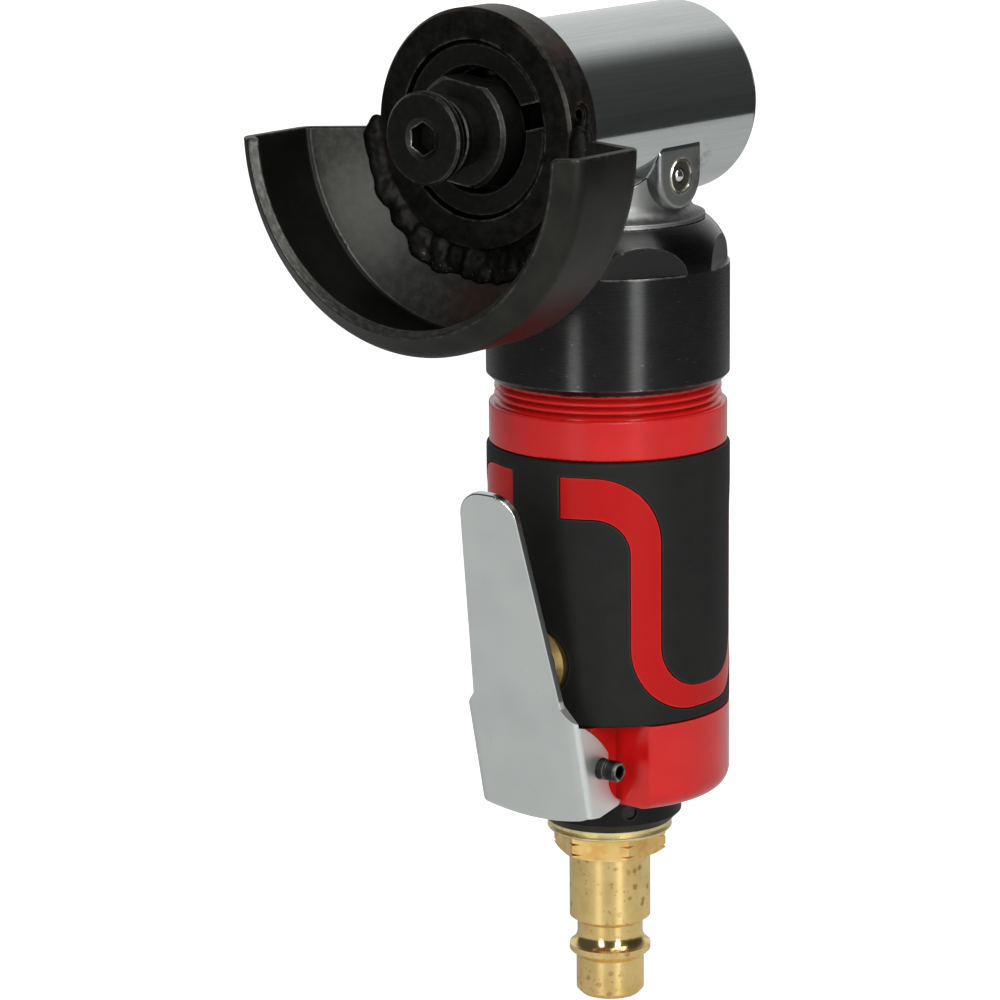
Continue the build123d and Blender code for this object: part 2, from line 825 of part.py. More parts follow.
with BuildPart() as valve_seal:
    seal_inner = stem_radius + press_gap
    seal_back = seal_front + seal_thickness
    turned(
        [
            (seal_inner, seal_front),
            (stem_disc_radius, seal_front),
            (stem_disc_radius, seal_back),
            (seal_inner, seal_back),
        ],
        valve_plane,
        valve_axis,
    )
save(valve_seal, "valve_seal")


def coil_spring(name, radius, wire, turns, plane, length):
    """Make a coil spring of round wire that fills a length along the plane's Z."""
    pitch = (length - wire) / turns
    lifted = plane.offset(wire / 2)
    path = coil_path(radius, pitch, turns, lifted)
    with BuildPart() as spring:
        with BuildSketch(Plane(path.line @ 0, z_dir=path.line % 0)) as section:
            Circle(wire / 2)
        sweep(section.sketch, path=path.line)
    count = 24 * turns
    spots = [path.line @ (index / count) for index in range(count + 1)]
    nearest = min((b - a).length for index, a in enumerate(spots) for b in spots[index + 12 :])
    print(f"{name}: least gap to itself {nearest - wire:.2f} mm")
    save(spring, name)


valve_spring_start = disc_back + press_gap
valve_spring_plane = Plane((0, valve_spring_start, valve_z), x_dir=(1, 0, 0), z_dir=(0, 1, 0))
valve_spring_length = valve_chamber_end - press_gap - valve_spring_start
coil_spring(
    "valve_spring",
    valve_spring_radius,
    valve_spring_wire,
    valve_spring_turns,
    valve_spring_plane,
    valve_spring_length,
)


def end_plate(name, bottom, pocket_below):
    """Make a motor end plate with a bearing pocket and a shaft hole; the rear one has the air port."""
    top = bottom + end_plate_height
    pocket = motor_bearing[2] + slip_gap
    with BuildPart() as plate:
        bored(cylinder_radius, (0, 0, bottom), (0, 0, top), mode=Mode.ADD)
        bored(motor_bearing[0] + free_gap * 2, (0, 0, bottom), (0, 0, top))
        pocket_start = bottom if pocket_below else top - pocket
        bored(motor_bearing[1] + press_gap, (0, 0, pocket_start), (0, 0, pocket_start + pocket))
        if pocket_below:
            bored(air_passage_radius, (0, -air_port_y - 1.5, bottom), (0, -air_port_y - 1.5, top))
            bored(dowel_radius + press_gap, (-dowel_x, 0, top - dowel_length / 2), (-dowel_x, 0, top))
    save(plate, name)


dowel_x = cylinder_radius - dowel_inset
end_plate("rear_end_plate", motor_floor, True)
end_plate("front_end_plate", cylinder_top, False)

# Motor cylinder: its bore is set off centre, with exhaust slots in the thick side's flank
with BuildPart() as motor_cylinder:
    with BuildSketch(Plane.XY.offset(cylinder_bottom)) as ring:
        Circle(cylinder_radius)
        with Locations((rotor_offset, 0)):
            Circle(cylinder_bore, mode=Mode.SUBTRACT)
    extrude(ring.sketch, amount=cylinder_length)
    dowel_seat = cylinder_bottom + dowel_length / 2
    bored(dowel_radius + press_gap, (-dowel_x, 0, cylinder_bottom), (-dowel_x, 0, dowel_seat))
    for side in (-1, 1):
        for height in (0.35, 0.5, 0.65):
            slot_z = cylinder_bottom + cylinder_length * height
            way = Vector(side, 1, 0).normalized()
            inside = way * (rotor_radius - 1) + Vector(0, 0, slot_z)
            bored(exhaust_passage_radius * 0.7, inside, inside + way * (cylinder_radius - rotor_radius + 2))
save(motor_cylinder, "motor_cylinder")

with BuildPart() as cylinder_dowel:
    dowel_reach = dowel_length / 2 - slip_gap
    dowel_bottom = (-dowel_x, 0, cylinder_bottom - dowel_reach)
    bored(dowel_radius, dowel_bottom, (-dowel_x, 0, cylinder_bottom + dowel_reach), mode=Mode.ADD)
save(cylinder_dowel, "cylinder_dowel")

# Rotor: slotted body with a journal at each end and a square tang for the pinion
rotor_bottom = cylinder_bottom + rotor_end_gap
rotor_top = cylinder_top - rotor_end_gap
journal_bottom = motor_floor + slip_gap * 2
journal_top = front_plate_top + free_gap
slot_root = vane_root_radius - 0.2
with BuildPart() as rotor:
    journal = motor_bearing[0]
    turned(
        [
            (0, journal_bottom),
            (journal, journal_bottom),
            (journal, rotor_bottom),
            (rotor_radius, rotor_bottom),
            (rotor_radius, rotor_top),
            (journal, rotor_top),
            (journal, journal_top),
            (0, journal_top),
        ]
    )
    with BuildSketch(Plane.XY.offset(journal_top)) as tang:
        Rectangle(tang_flats, tang_flats)
    extrude(tang.sketch, amount=tang_length)
    slot_depth = rotor_radius + 1 - slot_root
    with Locations((0, 0, (rotor_bottom + rotor_top) / 2)):
        with PolarLocations(slot_root + slot_depth / 2, vane_count):
            Box(slot_depth, vane_thickness + slip_gap, rotor_top - rotor_bottom + 1, mode=Mode.SUBTRACT)
save(rotor, "rotor")

with BuildPart() as rotor_vanes:
    vane_tip = cylinder_bore - rotor_offset - vane_tip_gap
    vane_depth = vane_tip - vane_root_radius
    with Locations((0, 0, (rotor_bottom + rotor_top) / 2)):
        with PolarLocations(vane_root_radius + vane_depth / 2, vane_count):
            Box(vane_depth, vane_thickness, rotor_top - rotor_bottom)
save(rotor_vanes, "rotor_vanes")

rear_bearing_z = motor_floor + slip_gap + motor_bearing[2] / 2
front_bearing_z = front_plate_top - slip_gap - motor_bearing[2] / 2
ball_bearing("rear_rotor_bearing", Plane.XY.offset(rear_bearing_z), motor_bearing)
ball_bearing("front_rotor_bearing", Plane.XY.offset(front_bearing_z), motor_bearing)

with BuildPart() as preload_washer:
    bored(cylinder_radius - slip_gap, (0, 0, front_plate_top), (0, 0, neck_bottom), mode=Mode.ADD)
    bored(preload_washer_bore, (0, 0, front_plate_top), (0, 0, neck_bottom))
save(preload_washer, "preload_washer")

# Clamp collar: screwed on the housing, its inner step pulls the snap ring in the head's neck
snap_bottom = housing_top + 0.6
snap_top = snap_bottom + snap_ring_height
collar_bore = neck_outer_radius + slip_gap + 0.05
with BuildPart() as clamp_collar:
    straight_top = collar_bottom + collar_straight
    step_bore = neck_outer_radius + snap_ring_reach + 0.15
    with BuildSketch(Plane.XZ) as profile:
        with BuildLine():
            Polyline(
                (collar_bore, collar_top),
                (collar_bore, snap_top + slip_gap),
                (step_bore, snap_top + slip_gap),
                (step_bore, housing_top + slip_gap),
                (thread_radius + slip_gap, housing_top + slip_gap),
                (thread_radius + slip_gap, collar_bottom),
                (collar_radius - collar_chamfer, collar_bottom),
                (collar_radius, collar_bottom + collar_chamfer),
                (collar_radius, straight_top),
            )
            shoulder_z = straight_top + (collar_top - straight_top) * 0.58
            ThreePointArc(
                (collar_radius, straight_top),
                (collar_shoulder_radius, shoulder_z),
                (collar_top_radius, collar_top),
            )
            Line((collar_top_radius, collar_top), (collar_bore, collar_top))
        make_face()
    revolve(profile.sketch, axis=Axis.Z)
    for index in range(collar_flat_count):
        turn = math.radians(collar_flat_turn + 360 / collar_flat_count * index)
        out = Vector(math.sin(turn), -math.cos(turn), 0)
        along = Vector(0, 0, straight_top)
        with BuildSketch(Plane(out * collar_flat_distance + along, x_dir=(0, 0, 1), z_dir=out)) as flat:
            Rectangle(collar_top - straight_top + 1, collar_radius * 2, align=(Align.MIN, Align.CENTER))
        extrude(flat.sketch, amount=collar_radius, mode=Mode.SUBTRACT)
save(clamp_collar, "clamp_collar")

with BuildPart() as neck_snap_ring:
    ring_inner = neck_outer_radius - snap_ring_depth + press_gap
    ring_outer = neck_outer_radius + snap_ring_reach
    bored(ring_outer, (0, 0, snap_bottom), (0, 0, snap_top), mode=Mode.ADD)
    bored(ring_inner, (0, 0, snap_bottom), (0, 0, snap_top))
    half_opening = snap_ring_opening / 2
    box_between((-half_opening, 0, snap_bottom), (half_opening, ring_outer * 1.1, snap_top))
save(neck_snap_ring, "neck_snap_ring")

# Angle head: barrel along the spindle, neck down into the collar, boss for the grease fitting
front_bearing_width = front_spindle_bearing_size[2]
rear_bearing_width = rear_spindle_bearing_size[2]
head_shoulder = head_nose_front - head_nose_length
nut_seat = head_nose_front - nut_barrel
front_bearing_back = nut_seat - front_bearing_width
rear_bearing_front = gear_back + 0.15
rear_bearing_back = rear_bearing_front + rear_bearing_width
pinion_bearing_top = head_z - pinion_bearing_drop
pinion_bearing_bottom = pinion_bearing_top - pinion_bearing_size[2]
with BuildPart() as angle_head_housing:
    turned(
        [
            (0, -head_nose_front),
            (head_nose_radius, -head_nose_front),
            (head_nose_radius, -head_shoulder),
            (head_radius, -head_shoulder),
            (head_radius, head_rear),
            (0, head_rear),
        ],
        spindle_plane,
        spindle_axis,
    )
    fillet(angle_head_housing.edges().group_by(Axis.Y)[-1], head_rear_fillet)
    flange_bottom = collar_top + slip_gap
    flange_top = flange_bottom + neck_flange_height
    with BuildSketch(Plane.XZ) as neck:
        with BuildLine():
            Polyline(
                (0, head_z),
                (0, neck_bottom),
                (cylinder_radius - slip_gap, neck_bottom),
                (cylinder_radius - slip_gap, housing_top + slip_gap),
                (neck_outer_radius, housing_top + slip_gap),
                (neck_outer_radius, snap_bottom - 0.05),
                (neck_outer_radius - snap_ring_depth, snap_bottom - 0.05),
                (neck_outer_radius - snap_ring_depth, snap_top + 0.05),
                (neck_outer_radius, snap_top + 0.05),
                (neck_outer_radius, flange_bottom),
                (neck_flange_radius, flange_bottom),
                (neck_flange_radius, flange_top),
            )
            flare_radius = neck_waist_radius * 0.7 + neck_flange_radius * 0.3
            ThreePointArc(
                (neck_flange_radius, flange_top),
                (flare_radius, flange_top + neck_flare * 0.3),
                (neck_waist_radius, flange_top + neck_flare),
            )
            Polyline((neck_waist_radius, flange_top + neck_flare), (neck_waist_radius, head_z), (0, head_z))
        make_face()
    revolve(neck.sketch, axis=Axis.Z)
    bored(grease_boss_radius, (0, 0, fitting_z), (grease_boss_face, 0, fitting_z), mode=Mode.ADD)
    boss_top = fitting_z + grease_boss_rise
    boss_corner = (grease_boss_face, grease_boss_radius, boss_top)
    box_between((0, -grease_boss_radius, fitting_z), boss_corner, mode=Mode.ADD)
    boss_face = angle_head_housing.faces().filter_by(lambda f: abs(f.center().X - grease_boss_face) < 0.01)
    boss_shoulder = fitting_z + grease_boss_rise * 0.75
    boss_sides = boss_face.edges().filter_by(lambda e: e.center().Z < boss_shoulder)
    fillet(boss_sides, grease_boss_edge)
    bored(gear_cavity_radius, (0, -head_nose_front, head_z), (0, gear_back, head_z))
    seat_radius = front_spindle_bearing_size[1] + press_gap
    bored(seat_radius, (0, -head_nose_front, head_z), (0, -front_bearing_back, head_z))
    bored(rear_spindle_bearing_size[1] + press_gap, (0, 0, head_z), (0, rear_bearing_back + slip_gap, head_z))
    bored(pinion_opening, (0, 0, neck_bottom), (0, 0, head_z - gear_cavity_radius / 2))
    bored(pinion_bearing_size[1] + press_gap, (0, 0, neck_bottom), (0, 0, pinion_bearing_top))
    lower_bore_top = pinion_bearing_bottom - circlip_height - 3
    bored(neck_lower_bore, (0, 0, neck_bottom), (0, 0, lower_bore_top))
    circlip_bottom = pinion_bearing_bottom - circlip_height - press_gap
    groove_radius = pinion_bearing_size[1] + circlip_depth
    bored(groove_radius, (0, 0, circlip_bottom - press_gap), (0, 0, pinion_bearing_bottom))
    fitting_back = grease_boss_face + fitting_stand_out - fitting_length
    fitting_seat = (fitting_back - press_gap, 0, fitting_z)
    bored(fitting_radius + press_gap, fitting_seat, (head_radius * 2, 0, fitting_z))
    bored(grease_channel, (0, 0, fitting_z), (fitting_back, 0, fitting_z))
save(angle_head_housing, "angle_head_housing")

# Circlip that keeps the pinion bearing up in the neck
with BuildPart() as pinion_circlip:
    circlip_top = circlip_bottom + circlip_height
    bored(groove_radius - slip_gap, (0, 0, circlip_bottom), (0, 0, circlip_top), mode=Mode.ADD)
    bored(pinion_bearing_size[1] - circlip_reach, (0, 0, circlip_bottom), (0, 0, circlip_top))
    half_gap = circlip_opening / 2
    box_between((-half_gap, 0, circlip_bottom), (half_gap, groove_radius * 1.1, circlip_top))
save(pinion_circlip, "pinion_circlip")

# Grease fitting pressed into the boss, with its check ball and spring
fitting_front = grease_boss_face + fitting_stand_out
mouth_back = fitting_front - fitting_dish - fitting_mouth_depth
ball_chamber = grease_ball_radius + 0.05
chamber_back = fitting_back + fitting_floor
fitting_side = Plane((0, 0, fitting_z), x_dir=(1, 0, 0), z_dir=(0, -1, 0))
with BuildPart() as grease_fitting:
    turned(
        [
            (fitting_back, grease_channel),
            (fitting_back, fitting_radius),
            (fitting_front - 0.2, fitting_radius),
            (fitting_front, fitting_radius - 0.2),
            (fitting_front, fitting_radius - fitting_rim),
            (fitting_front - fitting_dish, fitting_radius - fitting_rim - 0.2),
            (fitting_front - fitting_dish, fitting_mouth),
            (mouth_back, fitting_mouth),
            (mouth_back, ball_chamber),
            (chamber_back, ball_chamber),
            (chamber_back, grease_channel),
        ],
        fitting_side,
        fitting_axis,
    )
save(grease_fitting, "grease_fitting")

ball_x = mouth_back - math.sqrt(grease_ball_radius**2 - fitting_mouth**2) - press_gap
with BuildPart() as grease_ball:
    with Locations((ball_x, 0, fitting_z)):
        Sphere(grease_ball_radius)
save(grease_ball, "grease_ball")

grease_spring_start = chamber_back + press_gap
grease_spring_plane = Plane((grease_spring_start, 0, fitting_z), x_dir=(0, 1, 0), z_dir=(1, 0, 0))
ball_rear = ball_x - math.sqrt((grease_ball_radius + press_gap) ** 2 - grease_spring_radius**2)
grease_spring_length = ball_rear - grease_spring_wire / 2 - grease_spring_start
coil_spring(
    "grease_spring",
    grease_spring_radius,
    grease_spring_wire,
    grease_spring_turns,
    grease_spring_plane,
    grease_spring_length,
)


def involute(angle):
    """Involute of an angle in radians."""
    return math.tan(angle) - angle


def tooth_outline(pitch_radius, cone):
    """Outline of one bevel tooth across the back cone, from the equal spur gear's involute."""
    virtual = pitch_radius / math.cos(cone)
    pressure = math.radians(pressure_angle)
    base = virtual * math.cos(pressure)
    half_tooth = (math.pi * module / 2 - tooth_backlash) / (2 * virtual)
    low = max(base, virtual - tooth_dedendum)
    high = virtual + tooth_addendum
    flank = []
    flank_points = 5
    for index in range(flank_points):
        radius = low + (high - low) * index / (flank_points - 1)
        turn = half_tooth + involute(pressure) - involute(math.acos(min(1, base / radius)))
        flank.append((radius * math.sin(turn), radius * math.cos(turn) - virtual))
    foot = (flank[0][0], -tooth_dedendum - 0.25)
    right = [foot] + flank
    return right + [(-x, y) for x, y in reversed(right)]


def bevel_tooth(teeth, mate):
    """Make one tooth of a bevel gear, tapered towards the cones' tip at the origin."""
    pitch_radius = teeth * module / 2
    mate_radius = mate * module / 2
    cone = math.atan2(pitch_radius, mate_radius)
    distance = math.hypot(pitch_radius, mate_radius)
    outline = tooth_outline(pitch_radius, cone)
    ray = Vector(math.sin(cone), 0, -math.cos(cone))
    with BuildPart() as tooth:
        for scale in (1, (distance - face_width) / distance):
            with BuildSketch(Plane(ray * (distance * scale), x_dir=(0, 1, 0), z_dir=ray)):
                Polygon(*[(x * scale, y * scale) for x, y in outline], align=None)
        loft(ruled=True)
    return tooth.part


def bevel_blank(teeth, mate, tooth, frame, back, hub_radius, first_turn):
    """Turn the cone of a bevel gear on a frame with the cones' tip at its origin, and set its teeth."""
    pitch_radius = teeth * module / 2
    mate_radius = mate * module / 2
    cone = math.atan2(pitch_radius, mate_radius)
    inner_scale = 1 - face_width / math.hypot(pitch_radius, mate_radius)
    root_r = pitch_radius - tooth_dedendum * math.cos(cone)
    root_z = -mate_radius - tooth_dedendum * math.sin(cone)
    side = Plane(frame.origin, x_dir=frame.x_dir, z_dir=frame.x_dir.cross(frame.z_dir))
    axis = Axis(frame.origin, frame.z_dir)
    turned(
        [
            (0, root_z * inner_scale),
            (root_r * inner_scale, root_z * inner_scale),
            (root_r, root_z),
            (hub_radius, root_z - 0.5),
            (hub_radius, -back),
            (0, -back),
        ],
        side,
        axis,
    )
    for index in range(teeth):
        turn = 360 / teeth * index + first_turn
        add(frame.from_local_coords(tooth.rotate(Axis.Z, turn)))


# Bevel pinion: runs up the handle axis, its teeth look up at the spindle
pinion_frame = Plane.XY.offset(head_z)
pinion_foot = journal_top + 3.0
pinion_back = head_z - pinion_bearing_top - press_gap
pinion_tooth = bevel_tooth(pinion_teeth, gear_teeth)
with BuildPart() as bevel_pinion:
    bevel_blank(pinion_teeth, gear_teeth, pinion_tooth, pinion_frame, pinion_back, pinion_hub_radius, 90)
    bored(pinion_shank_radius, (0, 0, pinion_foot), (0, 0, pinion_bearing_top + 1), mode=Mode.ADD)
    with BuildSketch(Plane.XY.offset(pinion_foot)) as socket:
        Rectangle(tang_flats + slip_gap * 2, tang_flats + slip_gap * 2)
    extrude(socket.sketch, amount=tang_length - 2.6, mode=Mode.SUBTRACT)
save(bevel_pinion, "bevel_pinion")

pinion_bearing_z = pinion_bearing_bottom + pinion_bearing_size[2] / 2
ball_bearing("pinion_bearing", Plane.XY.offset(pinion_bearing_z), pinion_bearing_size)

# Bevel gear: keyed on the spindle behind the pinion
gear_frame = Plane((0, 0, head_z), x_dir=(0, 0, -1), z_dir=(0, -1, 0))
key_front = gear_back - key_length - 0.6
key_bottom = spindle_radius * 0.75
half_key = key_width / 2 + press_gap
gear_tooth = bevel_tooth(gear_teeth, pinion_teeth)
gear_turn = 180 / gear_teeth
with BuildPart() as bevel_gear:
    bevel_blank(gear_teeth, pinion_teeth, gear_tooth, gear_frame, gear_back, gear_hub_radius, gear_turn)
    bored(spindle_radius + press_gap, (0, -1, head_z), (0, gear_back + 1, head_z))
    key_roof = head_z + key_bottom + key_height + press_gap
    box_between((-half_key, 0, head_z), (half_key, gear_back + 1, key_roof))
save(bevel_gear, "bevel_gear")

with BuildPart() as gear_key:
    low = (-key_width / 2, key_front, head_z + key_bottom + press_gap)
    high = (key_width / 2, key_front + key_length, head_z + key_bottom + key_height)
    box_between(low, high, mode=Mode.ADD)
save(gear_key, "gear_key")

# Spindle: rear journal, shaft with a key seat, collar, flange with two wrench flats and pilot
pilot_front = flange_front + pilot_length
rear_journal = rear_spindle_bearing_size[0]
with BuildPart() as spindle:
    flange_back = flange_front - flange_length
    turned(
        [
            (0, -pilot_front),
            (pilot_radius, -pilot_front),
            (pilot_radius, -flange_front),
            (flange_radius - flange_chamfer, -flange_front),
            (flange_radius, -flange_front + flange_chamfer),
            (flange_radius, -flange_back),
            (spindle_collar_radius, -flange_back),
            (spindle_collar_radius, -nut_seat - 0.05),
            (spindle_radius, -nut_seat - 0.05),
            (spindle_radius, rear_bearing_front - 0.05),
            (rear_journal, rear_bearing_front - 0.05),
            (rear_journal, rear_bearing_back),
            (0, rear_bearing_back),
        ],
        spindle_plane,
        spindle_axis,
    )
    for turn in (flange_flat_turn, flange_flat_turn + 180):
        tilt = math.radians(turn)
        out = Vector(-math.sin(tilt), 0, math.cos(tilt))
        middle = out * (flange_flats / 2) + Vector(0, -flange_front, head_z)
        with BuildSketch(Plane(middle, x_dir=(0, 1, 0), z_dir=out)) as flat:
            Rectangle(flange_length * 2, flange_radius * 3)
        extrude(flat.sketch, amount=flange_radius, mode=Mode.SUBTRACT)
    screw_hole_end = pilot_front - screw_length - 1
    bored(screw_radius + slip_gap, (0, -pilot_front, head_z), (0, -screw_hole_end, head_z))
    seat_low = (-half_key, key_front - press_gap, head_z + key_bottom)
    seat_high = (half_key, key_front + key_length + press_gap, head_z + spindle_radius * 2)
    box_between(seat_low, seat_high)
save(spindle, "spindle")

ball_bearing(
    "front_spindle_bearing",
    Plane((0, -nut_seat + front_bearing_width / 2, head_z), x_dir=(1, 0, 0), z_dir=(0, 1, 0)),
    front_spindle_bearing_size,
)
ball_bearing(
    "rear_spindle_bearing",
    Plane((0, rear_bearing_front + rear_bearing_width / 2, head_z), x_dir=(1, 0, 0), z_dir=(0, 1, 0)),
    rear_spindle_bearing_size,
)

with BuildPart() as clamp_washer:
    washer_front = pilot_front + clamp_washer_thickness
    bored(clamp_washer_radius, (0, -pilot_front, head_z), (0, -washer_front, head_z), mode=Mode.ADD)
    chamfer(clamp_washer.edges().filter_by(GeomType.CIRCLE), clamp_washer_thickness * 0.15)
    bored(screw_radius + slip_gap, (0, -pilot_front, head_z), (0, -washer_front, head_z))
save(clamp_washer, "clamp_washer")

# Arbor screw: flanged head on a neck, hexagon socket
with BuildPart() as arbor_screw:
    neck_front = washer_front + screw_neck_length
    head_front = neck_front + screw_head_height
    edge = screw_head_height * 0.25
    turned(
        [
            (0, -head_front),
            (screw_head_radius - edge, -head_front),
            (screw_head_radius, -head_front + edge),
            (screw_head_radius, -neck_front),
            (screw_neck_radius, -neck_front),
            (screw_neck_radius, -washer_front),
            (screw_radius, -washer_front),
            (screw_radius, screw_length - pilot_front),
            (0, screw_length - pilot_front),
        ],
        spindle_plane,
        spindle_axis,
    )
    face = Plane((0, -head_front, head_z), x_dir=(0, 0, 1), z_dir=(0, 1, 0))
    with BuildSketch(face) as socket:
        RegularPolygon(screw_socket_flats / 2, 6, major_radius=False)
    extrude(socket.sketch, amount=screw_socket_depth, mode=Mode.SUBTRACT)
    mouth_depth = (screw_socket_mouth - screw_socket_flats / 2) * 0.4
    turned(
        [
            (0, -head_front),
            (screw_socket_mouth, -head_front),
            (screw_socket_flats / 2, mouth_depth - head_front),
            (0, mouth_depth - head_front),
        ],
        spindle_plane,
        spindle_axis,
        mode=Mode.SUBTRACT,
    )
save(arbor_screw, "arbor_screw")

# Retaining nut: screws into the head's nose, two face slots for a pin wrench
with BuildPart() as spindle_retaining_nut:
    flange_seat = head_nose_front + slip_gap
    nut_front = flange_seat + nut_flange
    barrel = front_spindle_bearing_size[1] - nut_thread_inset
    turned(
        [
            (nut_bore + nut_chamfer, -nut_front),
            (nut_radius - nut_chamfer, -nut_front),
            (nut_radius, -nut_front + nut_chamfer),
            (nut_radius, -flange_seat),
            (barrel, -flange_seat),
            (barrel, -nut_seat - 0.05),
            (nut_bore, -nut_seat - 0.05),
            (nut_bore, -nut_front + nut_chamfer),
        ],
        spindle_plane,
        spindle_axis,
    )
    face = Plane((0, -nut_front, head_z), x_dir=(1, 0, 0), z_dir=(0, 1, 0))
    with BuildSketch(face) as slots:
        Rectangle(nut_radius * 3, nut_slot_width, rotation=-nut_slot_turn)
    extrude(slots.sketch, amount=nut_slot_depth, mode=Mode.SUBTRACT)
save(spindle_retaining_nut, "spindle_retaining_nut")

# Guard: clamp ring on the head's nose, half-round dish welded to it, set screw in the ring
ring_back = guard_ring_front - guard_ring_thickness
set_turn = math.radians(set_screw_turn)
set_way = Vector(math.cos(set_turn), 0, math.sin(set_turn))
set_middle = Vector(0, -(guard_ring_front + ring_back) / 2, head_z)
with BuildPart() as guard_ring:
    bored(guard_ring_radius, (0, -ring_back, head_z), (0, -guard_ring_front, head_z), mode=Mode.ADD)
    chamfer(guard_ring.edges().filter_by(GeomType.CIRCLE), guard_ring_chamfer)
    bored(head_nose_radius + slip_gap, (0, -ring_back, head_z), (0, -guard_ring_front, head_z))
    hole_inner = set_middle + set_way * (head_nose_radius * 0.9)
    bored(set_screw_radius + press_gap, hole_inner, set_middle + set_way * (guard_ring_radius * 1.1))
save(guard_ring, "guard_ring")

with BuildPart() as guard_set_screw:
    screw_outer = guard_ring_radius - set_screw_recess
    outer_end = set_middle + set_way * screw_outer
    inner_end = set_middle + set_way * (screw_outer - set_screw_length)
    bored(set_screw_radius, inner_end, outer_end, mode=Mode.ADD)
    with BuildSketch(Plane(outer_end, z_dir=set_way * -1)) as socket:
        RegularPolygon(set_screw_socket / 2, 6, major_radius=False)
    extrude(socket.sketch, amount=set_screw_length * 0.5, mode=Mode.SUBTRACT)
save(guard_set_screw, "guard_set_screw")

guard_back = guard_ring_front + guard_standoff
guard_front = guard_back + guard_depth
dish_slope = guard_dish / (guard_shell_radius - guard_hole_radius)
dish_thickness = guard_sheet * math.hypot(1, dish_slope)


def dish_back(radius):
    """Distance of the dish's back from the handle axis, at a radius from the spindle axis."""
    return guard_back - (guard_shell_radius - radius) * dish_slope


lip_length = math.hypot(guard_lip_width, guard_lip_rise)
lip_edge_radius = guard_lip_radius - guard_sheet * guard_lip_rise / lip_length
lip_edge_y = guard_sheet * guard_lip_width / lip_length - guard_front
with BuildPart() as guard_shell:
    with BuildSketch(spindle_plane) as section:
        with BuildLine():
            outer = guard_shell_radius
            inner = guard_shell_radius - guard_sheet
            inner_turn = lip_edge_y + (inner - lip_edge_radius) * guard_lip_rise / guard_lip_width
            FilletPolyline(
                (guard_hole_radius, -dish_back(guard_hole_radius)),
                (outer, -guard_back),
                (outer, guard_lip_rise - guard_front),
                (guard_lip_radius, -guard_front),
                radius=guard_bend,
            )
            FilletPolyline(
                (lip_edge_radius, lip_edge_y),
                (inner, inner_turn),
                (inner, -dish_back(inner) - dish_thickness),
                (guard_hole_radius, -dish_back(guard_hole_radius) - dish_thickness),
                radius=guard_bend - guard_sheet,
            )
            Line((guard_lip_radius, -guard_front), (lip_edge_radius, lip_edge_y))
            hole_back = -dish_back(guard_hole_radius)
            Line((guard_hole_radius, hole_back - dish_thickness), (guard_hole_radius, hole_back))
        make_face()
    revolve(section.sketch, axis=spindle_axis, revolution_arc=guard_arc)
    cut_ends = guard_shell.faces().filter_by(GeomType.PLANE).filter_by(lambda f: abs(f.normal_at().Y) < 0.01)
    lip_middle = (lip_edge_y - guard_front) / 2
    fillet(cut_ends.edges().filter_by(lambda e: abs(e.center().Y - lip_middle) < 0.01), guard_corner)
    rim = guard_shell.edges().filter_by(GeomType.CIRCLE)
    fillet(rim.filter_by(lambda e: abs(e.radius - guard_lip_radius) < 0.01), guard_edge)
    cut_ends = guard_shell.faces().filter_by(GeomType.PLANE).filter_by(lambda f: abs(f.normal_at().Y) < 0.01)
    clear_radius = guard_hole_radius + guard_edge
    fillet(
        cut_ends.edges().filter_by(lambda e: math.hypot(e.center().X, e.center().Z - head_z) > clear_radius),
        guard_edge,
    )
save(guard_shell, "guard_shell")

# Weld bead in the corner between the ring's side and the dish
with BuildPart() as guard_weld:
    weld_foot = dish_thickness + press_gap
    turned(
        [
            (guard_hole_radius, -dish_back(guard_hole_radius) - weld_foot),
            (weld_outer_radius, -dish_back(weld_outer_radius) - weld_foot),
            (weld_crown_radius, -dish_back(weld_crown_radius) - weld_foot - weld_height),
            (guard_hole_radius, guard_ring_chamfer - guard_ring_front),
        ],
        spindle_plane.rotated((0, weld_end_margin, 0)),
        spindle_axis,
        arc=guard_arc - 2 * weld_end_margin,
    )
save(guard_weld, "guard_weld")
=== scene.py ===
import bpy
import math
import random
from mathutils import Matrix, Vector


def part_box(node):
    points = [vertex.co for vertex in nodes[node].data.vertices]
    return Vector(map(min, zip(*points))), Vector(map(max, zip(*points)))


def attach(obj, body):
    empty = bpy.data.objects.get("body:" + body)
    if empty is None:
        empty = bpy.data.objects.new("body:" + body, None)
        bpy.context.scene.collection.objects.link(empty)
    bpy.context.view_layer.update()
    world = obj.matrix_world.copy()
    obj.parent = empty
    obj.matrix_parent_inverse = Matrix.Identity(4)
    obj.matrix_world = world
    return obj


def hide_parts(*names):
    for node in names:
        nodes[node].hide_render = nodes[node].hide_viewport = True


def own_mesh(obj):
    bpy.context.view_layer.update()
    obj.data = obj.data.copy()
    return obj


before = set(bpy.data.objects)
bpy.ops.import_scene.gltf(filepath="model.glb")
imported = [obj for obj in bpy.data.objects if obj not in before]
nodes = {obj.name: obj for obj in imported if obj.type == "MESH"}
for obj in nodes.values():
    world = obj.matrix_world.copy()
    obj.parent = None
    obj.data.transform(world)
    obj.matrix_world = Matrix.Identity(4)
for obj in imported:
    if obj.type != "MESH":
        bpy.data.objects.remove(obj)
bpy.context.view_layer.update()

MM = 0.001

# Sizes in millimetres, slopes as rise over run and bearings in degrees
SPINDLE_Z = 132.0
GUARD_RING_RADIUS = 16.7
DISH_FRONT, DISH_SLOPE = 29.76, 0.276
LEVER_FRONT_Y, LEVER_FRONT_Z, LEVER_SLOPE = 19.87, 39.5, 0.219
FLAT_BEARING, FLAT_HALF_STEP = 55.0, 30.0
FELT_BORE = 8.38
WELD_LUMP = (3.2, 1.95, 0.8)

# Corners of a spring's wire and steps in each of its turns
COIL_SIDES, COIL_STEPS = 14, 28

